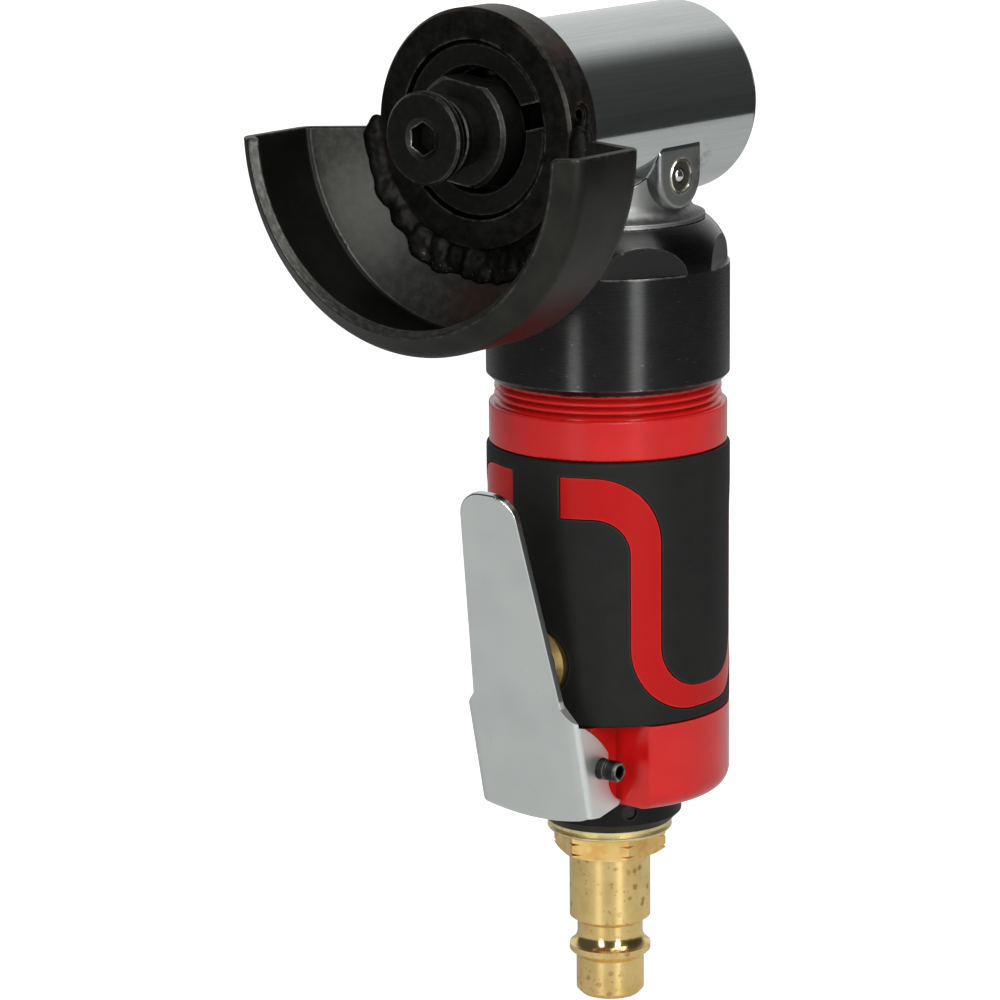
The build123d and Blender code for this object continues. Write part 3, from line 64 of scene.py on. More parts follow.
# Soft steps from one finish to the next, and into painted shade and light: where each one starts
# and ends, in millimetres
RIB_FOOT, RIB_TOP, HEXAGON_FOOT = (5.6, 6.0), (10.2, 9.2), (22.1, 22.3)
SLEEVE_FOOT, SLEEVE_TOP = (45.2, 45.3), (84.0, 83.9)
THREAD_ROOT, THREAD_FOOT = (16.35, 15.95), (89.7, 89.9)
LEVER_EDGE_FOOT, LEVER_EDGE_BACK = (50.0, 50.8), (1.6, 1.3)
COLLAR_FLAT_FOOT = (109.6, 109.9)
BARREL_INSIDE, BARREL_OUTSIDE, BARREL_END = (13.45, 13.65), (14.0, 13.85), (16.5, 16.9)
BOSS_FACE, BOSS_FOOT = (12.7, 12.9), (117.6, 118.4)
NECK_DARKENING, SHADED_NOSE_FACE = (120.0, 117.0), (-27.9, -28.3)
DISH_PLATE, DISH_HOLE = (-33.6, -32.9), (16.9, 17.6)
LIP_REACH, LIP_FRONT = (26.4, 26.05), (-45.0, -45.6)
RING_SIDE, RING_RUST = (16.3, 16.6), (15.6, 16.5)
SHADED_NUT_SLOT = (-29.6, -29.1)
SHADED_FITTING_DISH = (13.16, 12.95)

# Middles of patches, in millimetres
DARK_PATCH_MIDDLE = (12.4, 5.6, 123.4)
BARE_AND_REFLECTED_PATCH = (-18.0, -31.5, 118.0)
RED_BROWN_PATCH = (2.0, -32.0, 107.0)


class Tone:
    """A number, colour or direction on its way through a finish's nodes."""

    def __init__(self, finish, socket):
        self.finish = finish
        self.socket = socket

    def maths(self, operation, first, second):
        return self.finish.node("Math", {"operation": operation}, {0: first, 1: second})

    def __add__(self, other):
        return self.maths("ADD", self, other)

    def __radd__(self, other):
        return self.maths("ADD", other, self)

    def __sub__(self, other):
        return self.maths("SUBTRACT", self, other)

    def __rsub__(self, other):
        return self.maths("SUBTRACT", other, self)

    def __mul__(self, other):
        return self.maths("MULTIPLY", self, other)

    def __pow__(self, other):
        return self.maths("POWER", self, other)

    def __abs__(self):
        return self.finish.node("Math", {"operation": "ABSOLUTE"}, {0: self})


class Finish:
    """A surface finish, or the look of the room: its data block, and the nodes that make it."""

    def __init__(self, name, store=bpy.data.materials, end="Material"):
        self.material = store.new(name)
        self.material.use_nodes = True
        self.tree = self.material.node_tree
        self.tree.nodes.clear()
        self.surface = self.tree.nodes.new("ShaderNodeOutput" + end).inputs["Surface"]

    def node(self, kind, settings=None, sockets=None, output=0):
        """Add a node, with its settings first and then the values or links of its sockets."""
        made = self.tree.nodes.new("ShaderNode" + kind)
        for key, value in (settings or {}).items():
            setattr(made, key, value)
        for key, value in (sockets or {}).items():
            if isinstance(value, Tone):
                self.tree.links.new(value.socket, made.inputs[key])
            else:
                made.inputs[key].default_value = value
        return Tone(self, made.outputs[output])

    def spot(self, stretch=(1.0, 1.0, 1.0)):
        """The place on the piece in millimetres, stretched for streaky patterns."""
        place = self.node("TexCoord", output="Object")
        scale = [1000.0 * s for s in stretch]
        return self.node("VectorMath", {"operation": "MULTIPLY"}, {0: place, 1: scale})

    def split(self, vector):
        made = self.node("SeparateXYZ", sockets={"Vector": vector}).socket.node
        return [Tone(self, out) for out in made.outputs]

    def noise(self, spot, scale, detail=3.0, rough=0.55):
        sockets = {"Vector": spot, "Scale": scale, "Detail": detail, "Roughness": rough}
        return self.node("TexNoise", {}, sockets)

    def cells(self, spot, scale):
        """Distance to the nearest of scattered points."""
        return self.node("TexVoronoi", {}, {"Vector": spot, "Scale": scale}, "Distance")

    def away(self, spot, middle):
        """Distance to the middle of a patch."""
        return self.node("VectorMath", {"operation": "DISTANCE"}, {0: spot, 1: middle}, 1)

    def ramp(self, value, low, high):
        """A smooth rise from 0 at low to 1 at high, or a fall where low is the larger."""
        turned = low > high
        limits = (high, low, 1.0, 0.0) if turned else (low, high, 0.0, 1.0)
        names = ("From Min", "From Max", "To Min", "To Max")
        sockets = dict(zip(names, limits))
        sockets["Value"] = value
        return self.node("MapRange", {"interpolation_type": "SMOOTHSTEP"}, sockets)

    def mix(self, share, first, second):
        """Blend two colours."""
        first, second = (c if isinstance(c, Tone) else (*c, 1.0) for c in (first, second))
        return self.node("Mix", {"data_type": "RGBA"}, {0: share, 6: first, 7: second}, 2)

    def edge(self, reach):
        """How near the surface is to an outer edge, for wear, with the reach in millimetres."""
        settings = {"inside": True, "only_local": True, "samples": 6}
        open_share = self.node("AmbientOcclusion", settings, {"Distance": reach * MM}, "AO")
        return self.ramp(1.0 - open_share, 0.08, 0.36)

    def facing(self):
        """The three parts of the direction that the surface faces."""
        return self.split(self.node("NewGeometry", output="Normal"))

    def show(self, shader):
        """Link the last shader to the output."""
        self.tree.links.new(shader.socket, self.surface)
        return self.material

    def done(self, colour, roughness, metallic, bump, depth, **others):
        """Close the finish with its shader. The bump's depth is in millimetres."""
        normal = self.node("Bump", {}, {"Height": bump, "Strength": 1.0, "Distance": depth * MM})
        sockets = {"Base Color": colour, "Roughness": roughness, "Metallic": metallic}
        sockets["Normal"] = normal
        for key, value in others.items():
            sockets[key.replace("_", " ").title().replace("Ior", "IOR")] = value
        return self.show(self.node("BsdfPrincipled", {}, sockets))


def off_axis(first, second):
    """Distance from an axis, by the two coordinates across it."""
    return (first * first + second * second) ** 0.5


def brass_nipple():
    f = Finish("brass_nipple")
    spot = f.spot()
    blotch = f.noise(spot, 0.3, 4.0)
    lathe = f.noise(f.spot((0.2, 0.2, 6.0)), 1.0, 2.0)
    ragged = f.noise(spot, 1.8, 3.0, 0.65) * 0.4
    stained, specked = (f.noise(spot, scale) for scale in (0.14, 0.2))
    stain = f.ramp(f.cells(spot, 0.55) + ragged, 0.50, 0.36) * f.ramp(stained, 0.41, 0.54)
    speck = f.ramp(f.cells(spot, 1.0) + ragged, 0.44, 0.32) * f.ramp(specked, 0.43, 0.55)
    z = f.split(spot)[2]
    colour = f.mix(f.ramp(blotch, 0.35, 0.7), (0.87, 0.66, 0.285), (0.77, 0.555, 0.21))
    hexagon = f.ramp(z, *HEXAGON_FOOT)
    film = f.ramp(f.noise(spot, 0.5), 0.35, 0.65)
    colour = f.mix(hexagon, colour, f.mix(film, (0.88, 0.61, 0.225), (0.75, 0.45, 0.13)))
    colour = f.mix((stain * 0.6 + speck * 0.45) * (1.0 - hexagon), colour, (0.36, 0.215, 0.055))
    worn = f.edge(0.3)
    colour = f.mix(worn * 0.4, colour, (0.92, 0.76, 0.42))
    rib = f.ramp(z, *RIB_FOOT) * f.ramp(z, *RIB_TOP)
    roughness = 0.24 + blotch * 0.08 + lathe * 0.06 + stain * 0.15 - rib * 0.13
    return f.done(colour, roughness, 1.0, lathe, 0.003, anisotropic=0.6, anisotropic_rotation=0.25)


def brass_bush():
    f = Finish("brass_bush")
    spot = f.spot()
    blotch = f.noise(spot, 0.5, 4.0)
    lathe = f.noise(f.spot((0.3, 5.0, 0.3)), 1.0, 2.0)
    # Old brass, painted darker still: a painted shade, as the bush sits in shade under the lever.
    colour = f.mix(f.ramp(blotch, 0.35, 0.7), (0.34, 0.23, 0.09), (0.20, 0.13, 0.05))
    worn = f.edge(0.3)
    colour = f.mix(worn * 0.7, colour, (0.62, 0.46, 0.20))
    return f.done(colour, 0.32 + blotch * 0.2, 1.0, lathe, 0.004)


def yellow_zinc():
    f = Finish("yellow_zinc")
    spot = f.spot()
    film = f.noise(spot, 0.35, 3.0)
    lathe = f.noise(f.spot((0.2, 0.2, 5.0)), 1.0, 2.0)
    colour = f.mix(f.ramp(film, 0.35, 0.65), (0.82, 0.72, 0.40), (0.68, 0.62, 0.30))
    colour = f.mix(f.ramp(f.noise(spot, 0.6), 0.56, 0.7) * 0.6, colour, (0.60, 0.36, 0.18))
    worn = f.edge(0.25)
    colour = f.mix(worn * 0.6, colour, (0.82, 0.76, 0.50))
    return f.done(colour, 0.36 + lathe * 0.14, 1.0, lathe, 0.004)


def black_deflector():
    f = Finish("black_deflector")
    spot = f.spot()
    grain = f.noise(spot, 4.0, 3.0)
    dust = f.noise(spot, 0.4, 4.0)
    colour = f.mix(f.ramp(dust, 0.4, 0.75), (0.006, 0.006, 0.006), (0.011, 0.010, 0.009))
    worn = f.edge(0.3)
    colour = f.mix(worn * 0.5, colour, (0.05, 0.048, 0.045))
    return f.done(colour, 0.38 + grain * 0.12, 0.0, grain, 0.005, specular_ior_level=0.15)


def red_paint():
    f = Finish("red_paint")
    spot = f.spot()
    x, y, z = f.split(spot)
    peel = f.noise(spot, 1.1, 2.0)
    cloud = f.noise(spot, 0.15, 3.0)
    shaded_groove = f.ramp(off_axis(x, y), *THREAD_ROOT) * f.ramp(z, *THREAD_FOOT)
    colour = f.mix(f.ramp(cloud, 0.3, 0.7), (0.52, 0.0085, 0.0075), (0.46, 0.0065, 0.006))
    # The red in the sleeve's windows is painted darker: a painted shade. It has no lacquer coat.
    shaded_window = f.ramp(z, *SLEEVE_FOOT) * f.ramp(z, *SLEEVE_TOP)
    colour = f.mix(shaded_window, colour, (0.385, 0.0064, 0.0058))
    # The thread is painted darker: a painted shade in its grooves.
    colour = f.mix(shaded_groove * 0.6, colour, (0.16, 0.004, 0.004))
    worn = f.edge(0.35)
    colour = f.mix(worn * 0.3, colour, (0.70, 0.035, 0.03))
    roughness = 0.17 + peel * 0.06 + cloud * 0.05
    lacquer = (1.0 - shaded_window) * 0.55
    return f.done(colour, roughness, 0.0, peel, 0.006, specular_ior_level=0.13,
                  coat_weight=lacquer, coat_roughness=0.2)


def grip_rubber():
    f = Finish("grip_rubber")
    spot = f.spot()
    grain = f.noise(spot, 5.0, 3.0, 0.65)
    dust = f.noise(spot, 0.25, 5.0)
    colour = f.mix(f.ramp(dust, 0.35, 0.75), (0.0076, 0.0080, 0.0073), (0.0108, 0.0110, 0.0101))
    colour = f.mix(f.ramp(grain, 0.6, 0.8) * 0.4, colour, (0.030, 0.030, 0.028))
    worn = f.edge(0.35)
    colour = f.mix(worn * 0.4, colour, (0.034, 0.034, 0.032))
    return f.done(colour, 0.55 + dust * 0.16, 0.0, grain, 0.03, specular_ior_level=0.2)


def chrome_lever():
    f = Finish("chrome_lever")
    spot = f.spot()
    _, y, z = f.split(spot)
    sideways = abs(f.facing()[0])
    brushed = f.noise(f.spot((5.0, 5.0, 0.12)), 1.0, 3.0)
    cloud = f.noise(spot, 0.09, 3.0)
    pits = f.ramp(f.cells(spot, 0.45), 0.07, 0.04)
    inward = y + LEVER_FRONT_Y + (z - LEVER_FRONT_Z) * LEVER_SLOPE
    plate_edge = f.ramp(z, *LEVER_EDGE_FOOT) * f.ramp(inward, *LEVER_EDGE_BACK)
    sheared = f.ramp(sideways, 0.7, 0.9) * plate_edge
    colour = f.mix(f.ramp(cloud, 0.3, 0.7), (0.64, 0.675, 0.655), (0.58, 0.615, 0.60))
    colour = f.mix(pits * 0.4, colour, (0.3, 0.3, 0.29))
    colour = f.mix(sheared * 0.85, colour, (0.10, 0.105, 0.10))
    worn = f.edge(0.25) * (1.0 - sheared)
    colour = f.mix(worn * 0.5, colour, (0.84, 0.85, 0.84))
    # The ear's side faces are painted a lighter chrome: a painted reflection.
    painted_bright_ear = f.ramp(sideways, 0.6, 0.9) * (1.0 - sheared)
    colour = f.mix(painted_bright_ear, colour, (0.78, 0.81, 0.79))
    roughness = 0.14 + brushed * 0.06 + cloud * 0.04 + sheared * 0.17 + painted_bright_ear * 0.25
    return f.done(colour, roughness, 1.0, brushed, 0.0012)


def blued_collar():
    f = Finish("blued_collar")
    spot = f.spot()
    z = f.split(spot)[2]
    lathe = f.noise(f.spot((0.12, 0.12, 7.0)), 1.0, 3.0)
    cloud = f.noise(spot, 0.2, 4.0)
    nx, ny, nz = f.facing()
    bearing = nx.maths("ARCTAN2", nx, 0.0 - ny) * (180.0 / math.pi)
    off_flat = nx.maths("PINGPONG", bearing - FLAT_BEARING + 360.0, FLAT_HALF_STEP)
    upright = f.ramp(abs(nz), 0.05, 0.02)
    milled = f.ramp(off_flat, 1.2, 0.6) * upright * f.ramp(z, *COLLAR_FLAT_FOOT)
    tool = f.node("TexWave", {"wave_type": "RINGS", "rings_direction": "SPHERICAL"},
                  {"Vector": f.spot((1.0, 1.0, 0.6)), "Scale": 1.2, "Distortion": 1.5})
    colour = f.mix(f.ramp(cloud, 0.3, 0.7), (0.033, 0.0345, 0.0335), (0.041, 0.042, 0.0405))
    colour = f.mix(milled, colour, (0.018, 0.0187, 0.0178))
    flecks = f.ramp(f.cells(f.spot((1.0, 1.0, 1.6)), 0.55), 0.09, 0.04)
    worn = f.edge(0.35) * f.ramp(f.noise(spot, 0.7), 0.3, 0.6)
    colour = f.mix(worn * 0.85, colour, (0.42, 0.42, 0.40))
    colour = f.mix(flecks * 0.5, colour, (0.25, 0.25, 0.25))
    roughness = 0.24 + lathe * 0.07 + milled * (0.18 + tool * 0.06)
    return f.done(colour, roughness, 1.0, lathe, 0.002, anisotropic=0.85, anisotropic_rotation=0.25)


def polished_head():
    f = Finish("polished_head")
    spot = f.spot()
    x, y, z = f.split(spot)
    spindle = off_axis(x, z - SPINDLE_Z)
    streak = f.noise(f.spot((3.0, 0.07, 3.0)), 1.0, 3.0)
    cast = f.noise(spot, 2.2, 4.0, 0.6)
    cloud = f.noise(spot, 0.2, 3.0)
    turned = f.ramp(spindle, *BARREL_INSIDE) * f.ramp(spindle, *BARREL_OUTSIDE)
    barrel = turned.maths("MAXIMUM", turned, f.ramp(y, *BARREL_END))
    skin = f.mix(cloud, (0.205, 0.212, 0.205), (0.285, 0.292, 0.285))
    shine = f.mix(f.ramp(streak, 0.3, 0.7), (0.505, 0.545, 0.54), (0.565, 0.595, 0.58))
    nicks = f.ramp(f.cells(spot, 0.9), 0.085, 0.05) * f.ramp(cloud, 0.42, 0.6)
    shine = f.mix(nicks, shine, (0.95, 0.96, 0.95))
    # The boss's flat face is painted lighter than the cast skin around it: a painted highlight.
    boss_face_highlight = f.ramp(f.facing()[0], 0.9, 0.98) * f.ramp(x, *BOSS_FACE) * f.ramp(z, *BOSS_FOOT)
    skin = f.mix(boss_face_highlight, skin, (0.36, 0.375, 0.36))
    colour = f.mix(barrel, skin, shine)
    # Patchy darkening towards the bottom of the neck.
    neck_darkening = f.ramp(z, *NECK_DARKENING) * f.ramp(f.noise(spot, 0.9, 4.0), 0.4, 0.7)
    colour = f.mix(neck_darkening * 0.6, colour, (0.12, 0.115, 0.11))
    # A darker patch beside the boss, on its +Y side.
    near_dark_patch = f.ramp(f.away(spot, DARK_PATCH_MIDDLE), 4.4, 1.0)
    dark_patch = near_dark_patch * f.ramp(f.noise(spot, 0.7, 5.0), 0.38, 0.6)
    colour = f.mix(dark_patch * 0.7, colour, (0.13, 0.13, 0.128))
    worn = f.edge(0.4)
    colour = f.mix(worn * 0.35, colour, (0.84, 0.85, 0.84))
    # The nose's front face, seen only through the gaps round the nut, is painted near black: a
    # painted shade.
    colour = f.mix(f.ramp(y, *SHADED_NOSE_FACE), colour, (0.010, 0.0097, 0.009))
    polish = 0.07 + streak * 0.03 + f.ramp(cast, 0.5, 0.75) * 0.05
    rough = 0.34 + cast * 0.16
    roughness = polish * barrel + rough * (1.0 - barrel)
    height = (streak * 0.015 + cast * 0.02) * barrel + cast * (1.0 - barrel)
    return f.done(colour, roughness, 1.0, height, 0.02)


def guard_black():
    f = Finish("guard_black")
    spot = f.spot()
    x, y, z = f.split(spot)
    spindle = off_axis(x, z - SPINDLE_Z)
    patch = f.noise(spot, 0.1, 5.0)
    mottle = f.noise(spot, 0.8, 5.0, 0.65)
    fine = f.noise(spot, 3.0, 4.0, 0.7)
    forward = f.ramp(f.facing()[1], -0.75, -0.9)
    plate = forward * f.ramp(y, *DISH_PLATE) * f.ramp(spindle, *DISH_HOLE)
    colour = f.mix(f.ramp(patch, 0.35, 0.65), (0.024, 0.0245, 0.022), (0.038, 0.038, 0.034))
    # The plate inside the dish is painted lighter, most in a patch to the lower left: partly rubbed
    # bare steel, partly a painted reflection of the floor.
    bare_and_reflected = f.ramp(f.away(spot, BARE_AND_REFLECTED_PATCH) + f.noise(spot, 0.15, 5.0) * 8.0, 17.0, 5.0)
    rubbed_and_reflected = f.mix(bare_and_reflected, (0.052, 0.052, 0.048), (0.115, 0.115, 0.108))
    rubbed_and_reflected = f.mix(f.ramp(mottle, 0.35, 0.75) * 0.3, rubbed_and_reflected, (0.16, 0.158, 0.148))
    colour = f.mix(plate, colour, rubbed_and_reflected)
    # A red-brown patch low on the plate.
    red_brown = f.ramp(f.away(spot, RED_BROWN_PATCH), 9.0, 2.0) * f.ramp(mottle, 0.3, 0.6)
    colour = f.mix(red_brown * 0.55, colour, (0.085, 0.036, 0.02))
    lip = f.ramp(spindle, *LIP_REACH) * f.ramp(y, *LIP_FRONT)
    scuff = f.noise(f.spot((1.0, 2.5, 1.0)), 0.9, 4.0, 0.6)
    colour = f.mix(lip * (0.25 + f.ramp(scuff, 0.35, 0.7) * 0.5), colour, (0.15, 0.148, 0.138))
    worn = f.edge(0.45) * f.ramp(mottle, 0.42, 0.68)
    colour = f.mix(worn * 0.75, colour, (0.30, 0.27, 0.24))
    roughness = 0.40 + mottle * 0.12 - worn * 0.06
    return f.done(colour, roughness, 1.0, mottle + fine * 0.3, 0.015)


def ring_black():
    f = Finish("ring_black")
    spot = f.spot()
    x, _, z = f.split(spot)
    spindle = off_axis(x, z - SPINDLE_Z)
    mottle = f.noise(spot, 0.55, 6.0, 0.7)
    fine = f.noise(spot, 3.5, 4.0, 0.7)
    colour = f.mix(f.ramp(mottle, 0.3, 0.7), (0.014, 0.014, 0.0125), (0.032, 0.031, 0.028))
    # The ring's outer side is painted lighter in patches: partly worn steel, partly a painted
    # highlight.
    side = f.ramp(spindle, *RING_SIDE)
    colour = f.mix(side * f.ramp(mottle, 0.35, 0.65) * 0.7, colour, (0.060, 0.056, 0.050))
    rusty = f.ramp(f.noise(spot, 0.22, 5.0), 0.5, 0.66)
    rust = rusty * f.ramp(spindle, *RING_RUST) * f.ramp(fine, 0.3, 0.6)
    colour = f.mix(rust * 0.75, colour, (0.085, 0.042, 0.028))
    worn = f.edge(0.4) * f.ramp(mottle + fine * 0.4, 0.58, 0.82)
    colour = f.mix(worn * 0.8, colour, (0.24, 0.22, 0.19))
    return f.done(colour, 0.36 + mottle * 0.16 - worn * 0.08, 1.0, mottle + fine * 0.4, 0.02)


def weld_bead():
    f = Finish("weld_bead")
    spot = f.spot()
    x, _, z = f.split(spot)
    spindle = off_axis(x, z - SPINDLE_Z)
    mottle = f.noise(spot, 1.0, 5.0, 0.65)
    scale = f.noise(spot, 0.25, 4.0)
    turn = x.maths("ARCTAN2", x, SPINDLE_Z - z)
    crescent = turn * 45.0 + (spindle - 18.0) ** 2.0 * 0.5 + scale * 6.0
    ripple = f.node("Math", {"operation": "SINE"}, {0: crescent})
    colour = f.mix(f.ramp(scale, 0.35, 0.65), (0.011, 0.011, 0.0098), (0.022, 0.0214, 0.0195))
    spatter = f.ramp(f.noise(spot, 2.2, 3.0), 0.62, 0.72) * f.ramp(spindle, 19.0, 20.0)
    colour = f.mix(spatter * 0.8, colour, (0.30, 0.28, 0.25))
    return f.done(colour, 0.42 + mottle * 0.18, 1.0, mottle * 0.4 + ripple * 0.4, 0.06)


def arbor_black(name="arbor_black", tone=1.0, slot=None):
    f = Finish(name)
    spot = f.spot()
    mottle = f.noise(spot, 1.1, 5.0, 0.6)
    lathe = f.noise(f.spot((0.4, 5.0, 0.4)), 1.0, 2.0)
    shades = ((0.022, 0.0225, 0.021), (0.030, 0.0302, 0.028))
    dark, light = ([c * tone for c in shade] for shade in shades)
    colour = f.mix(f.ramp(mottle, 0.3, 0.75), dark, light)
    worn = f.edge(0.35) * (0.35 + f.ramp(mottle, 0.4, 0.6) * 0.65)
    colour = f.mix(worn * 0.85, colour, (0.42, 0.41, 0.38))
    # Within the slot's depth the colour is painted near black: a painted shade in the gap.
    if slot:
        colour = f.mix(f.ramp(f.split(spot)[1], *slot), colour, (0.004, 0.004, 0.004))
    return f.done(colour, 0.40 + mottle * 0.1 - worn * 0.08, 1.0, lathe + mottle * 0.5, 0.004)


def greased_shaded_bearing():
    f = Finish("greased_shaded_bearing")
    spot = f.spot()
    film = f.noise(spot, 0.7, 4.0)
    # Greased steel painted dark: partly grease, partly a painted shade in the gap between nut and
    # spindle.
    colour = f.mix(f.ramp(film, 0.35, 0.65), (0.030, 0.028, 0.025), (0.065, 0.060, 0.052))
    return f.done(colour, 0.3 + film * 0.25, 1.0, film, 0.02)


def nickel_fitting():
    f = Finish("nickel_fitting")
    spot = f.spot()
    tint = f.noise(spot, 0.9, 3.0)
    dish = f.ramp(f.split(spot)[0], *SHADED_FITTING_DISH)
    colour = f.mix(f.ramp(tint, 0.35, 0.7), (0.74, 0.71, 0.62), (0.62, 0.57, 0.47))
    # The fitting's dished face is painted near black: a painted shade in the recess.
    colour = f.mix(dish * 0.9, colour, (0.085, 0.08, 0.065))
    return f.done(colour, 0.16 + tint * 0.12 + dish * 0.2, 1.0, tint, 0.004)


def bright_steel(name, tone, low, spread):
    f = Finish(name)
    spot = f.spot()
    cloud = f.noise(spot, 0.5, 4.0)
    fine = f.noise(spot, 6.0, 3.0)
    darker = tuple(c * 0.78 for c in tone)
    colour = f.mix(f.ramp(cloud, 0.35, 0.7), tone, darker)
    return f.done(colour, low + cloud * spread, 1.0, fine, 0.002)


def cast_motor():
    f = Finish("cast_motor")
    spot = f.spot()
    cast = f.noise(spot, 1.8, 5.0, 0.65)
    cloud = f.noise(spot, 0.2, 3.0)
    colour = f.mix(f.ramp(cloud, 0.3, 0.7), (0.30, 0.30, 0.29), (0.22, 0.215, 0.21))
    return f.done(colour, 0.42 + cast * 0.15, 1.0, cast, 0.03)


def vane_composite():
    f = Finish("vane_composite")
    spot = f.spot()
    sockets = {"Vector": spot, "Scale": 1.6, "Distortion": 0.6}
    weave = f.node("TexWave", {"bands_direction": "Z"}, sockets)
    blotch = f.noise(spot, 0.6, 4.0)
    colour = f.mix(f.ramp(blotch, 0.3, 0.7), (0.16, 0.075, 0.030), (0.09, 0.042, 0.018))
    return f.done(colour, 0.5 + weave * 0.12, 0.0, weave, 0.01)


def seal_rubber():
    f = Finish("seal_rubber")
    grain = f.noise(f.spot(), 3.0, 3.0)
    colour = f.mix(grain, (0.014, 0.014, 0.014), (0.024, 0.023, 0.022))
    return f.done(colour, 0.5 + grain * 0.15, 0.0, grain, 0.01)


def felt_wool():
    f = Finish("felt_wool")
    spot = f.spot()
    fibre = f.noise(f.spot((1.0, 1.0, 3.0)), 2.6, 5.0, 0.7)
    blotch = f.noise(spot, 0.4, 3.0)
    colour = f.mix(f.ramp(fibre, 0.35, 0.7), (0.035, 0.034, 0.032), (0.075, 0.072, 0.067))
    colour = f.mix(f.ramp(blotch, 0.5, 0.75) * 0.6, colour, (0.03, 0.027, 0.022))
    return f.done(colour, 0.85 + fibre * 0.1, 0.0, fibre, 0.15, sheen_weight=0.2)


def begin(operator, **options):
    """Add a primitive with nothing else selected, and open it for editing."""
    bpy.ops.object.select_all(action="DESELECT")
    operator(**options)
    piece = bpy.context.object
    bpy.ops.object.mode_set(mode="EDIT")
    return piece


def pick(piece, kind, test):
    """Select only the vertices or the polygons of the open piece that pass a test."""
    bpy.ops.object.mode_set(mode="OBJECT")
    kinds = ("vertices", "edges", "polygons")
    bpy.context.tool_settings.mesh_select_mode = [k == kind for k in kinds]
    mesh = piece.data
    for group in (mesh.vertices, mesh.edges, mesh.polygons):
        group.foreach_set("select", [False] * len(group))
    for item in getattr(mesh, kind):
        item.select = bool(test(item))
    bpy.ops.object.mode_set(mode="EDIT")


def apply(piece, kind, **settings):
    """Finish a piece with one modifier."""
    modifier = piece.modifiers.new(kind.lower(), kind)
    for key, value in settings.items():
        setattr(modifier, key, value)
    bpy.context.view_layer.objects.active = piece
    bpy.ops.object.modifier_apply(modifier=modifier.name)


def close(piece, name, material, body, slot, *stands_for):
    """Name a finished piece, give it its finish and set it on its body."""
    bpy.ops.object.select_all(action="DESELECT")
    piece.select_set(True)
    bpy.context.view_layer.objects.active = piece
    bpy.ops.object.transform_apply(location=True, rotation=True, scale=True)
    bpy.ops.object.shade_smooth_by_angle(angle=math.radians(35))
    piece.name = name
    piece.data.materials.clear()
    piece.data.materials.append(material)
    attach(piece, body)
    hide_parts(*stands_for)


def lumpy_weld(material):
    """Weld in the corner between the guard's ring and dish: a flat bead of overlapping lumps."""
    lump = begin(bpy.ops.mesh.primitive_uv_sphere_add, segments=24, ring_count=14, radius=1.0 * MM)
    bpy.ops.mesh.select_all(action="SELECT")
    bpy.ops.transform.resize(value=WELD_LUMP)
    pick(lump, "vertices", lambda v: v.co.x < -1.2 * MM)
    bpy.ops.transform.translate(value=(0.4 * MM, 0, -0.15 * MM))
    bpy.ops.object.mode_set(mode="OBJECT")
    chance = random.Random(11)
    # Each lump's turn in degrees, reach from the spindle axis, rise off the dish and size
    lumps = []
    first_run, second_run = 31, 13
    for index in range(first_run):
        turn = 8.0 + 162.0 * index / (first_run - 1) + chance.uniform(-1.4, 1.4)
        reach = 17.4 + 0.6 * math.sin(math.radians(turn)) + chance.uniform(-0.25, 0.4)
        lumps.append((turn, reach, chance.uniform(-0.15, 0.1), chance.uniform(0.85, 1.15)))
    # Second run along the bottom, where the bead is wide
    for index in range(second_run):
        turn = 62.0 + 60.0 * index / (second_run - 1) + chance.uniform(-2.0, 2.0)
        reach = 19.3 + chance.uniform(-0.5, 0.5)
        lumps.append((turn, reach, chance.uniform(-0.1, 0.15), chance.uniform(0.75, 1.0)))
    # Ends of the bead, run up onto the ring's side
    lumps += [
        (175.5, 17.6, 0.0, 1.0),
        (179.0, 17.4, -0.8, 0.85),
        (178.0, 19.0, -0.4, 0.7),
        (183.0, 16.8, -1.6, 0.6),
        (181.0, 18.2, -1.7, 0.6),
        (5.0, 17.5, 0.0, 0.85),
        (3.0, 17.1, -0.7, 0.6),
    ]
    copies = []
    for turn, reach, rise, size in lumps:
        angle = math.radians(turn)
        out = Vector((-math.cos(angle), 0, -math.sin(angle)))
        along = Vector((math.sin(angle), 0, -math.cos(angle)))
        proud = (out * -DISH_SLOPE + Vector((0, -1, 0))).normalized()
        axes = Matrix((along * size, proud.cross(along) * size, proud * size)).transposed().to_4x4()
        dish_front = DISH_FRONT + (reach - GUARD_RING_RADIUS) * DISH_SLOPE
        middle = out * reach * MM + Vector((0, -dish_front - rise, SPINDLE_Z)) * MM
        copy = lump.copy()
        copy.data = lump.data.copy()
        bpy.context.collection.objects.link(copy)
        copy.data.transform(Matrix.Translation(middle) @ axes)
        copies.append(copy)
    bpy.data.objects.remove(lump)
    bpy.ops.object.select_all(action="DESELECT")
    for copy in copies:
        copy.select_set(True)
    bead = copies[0]
    bpy.context.view_layer.objects.active = bead
    bpy.ops.object.join()
    apply(bead, "REMESH", mode="VOXEL", voxel_size=0.15 * MM)
    slag = bpy.data.textures.new("weld_slag", "CLOUDS")
    slag.noise_scale = 1.5 * MM
    slag.noise_depth = 2
    apply(bead, "DISPLACE", texture=slag, texture_coords="LOCAL", strength=0.4 * MM, mid_level=0.5)
    apply(bead, "SMOOTH", factor=0.5, iterations=14)
    close(bead, "weld_bead", material, "guard_body", "black_oxide", "guard_weld")


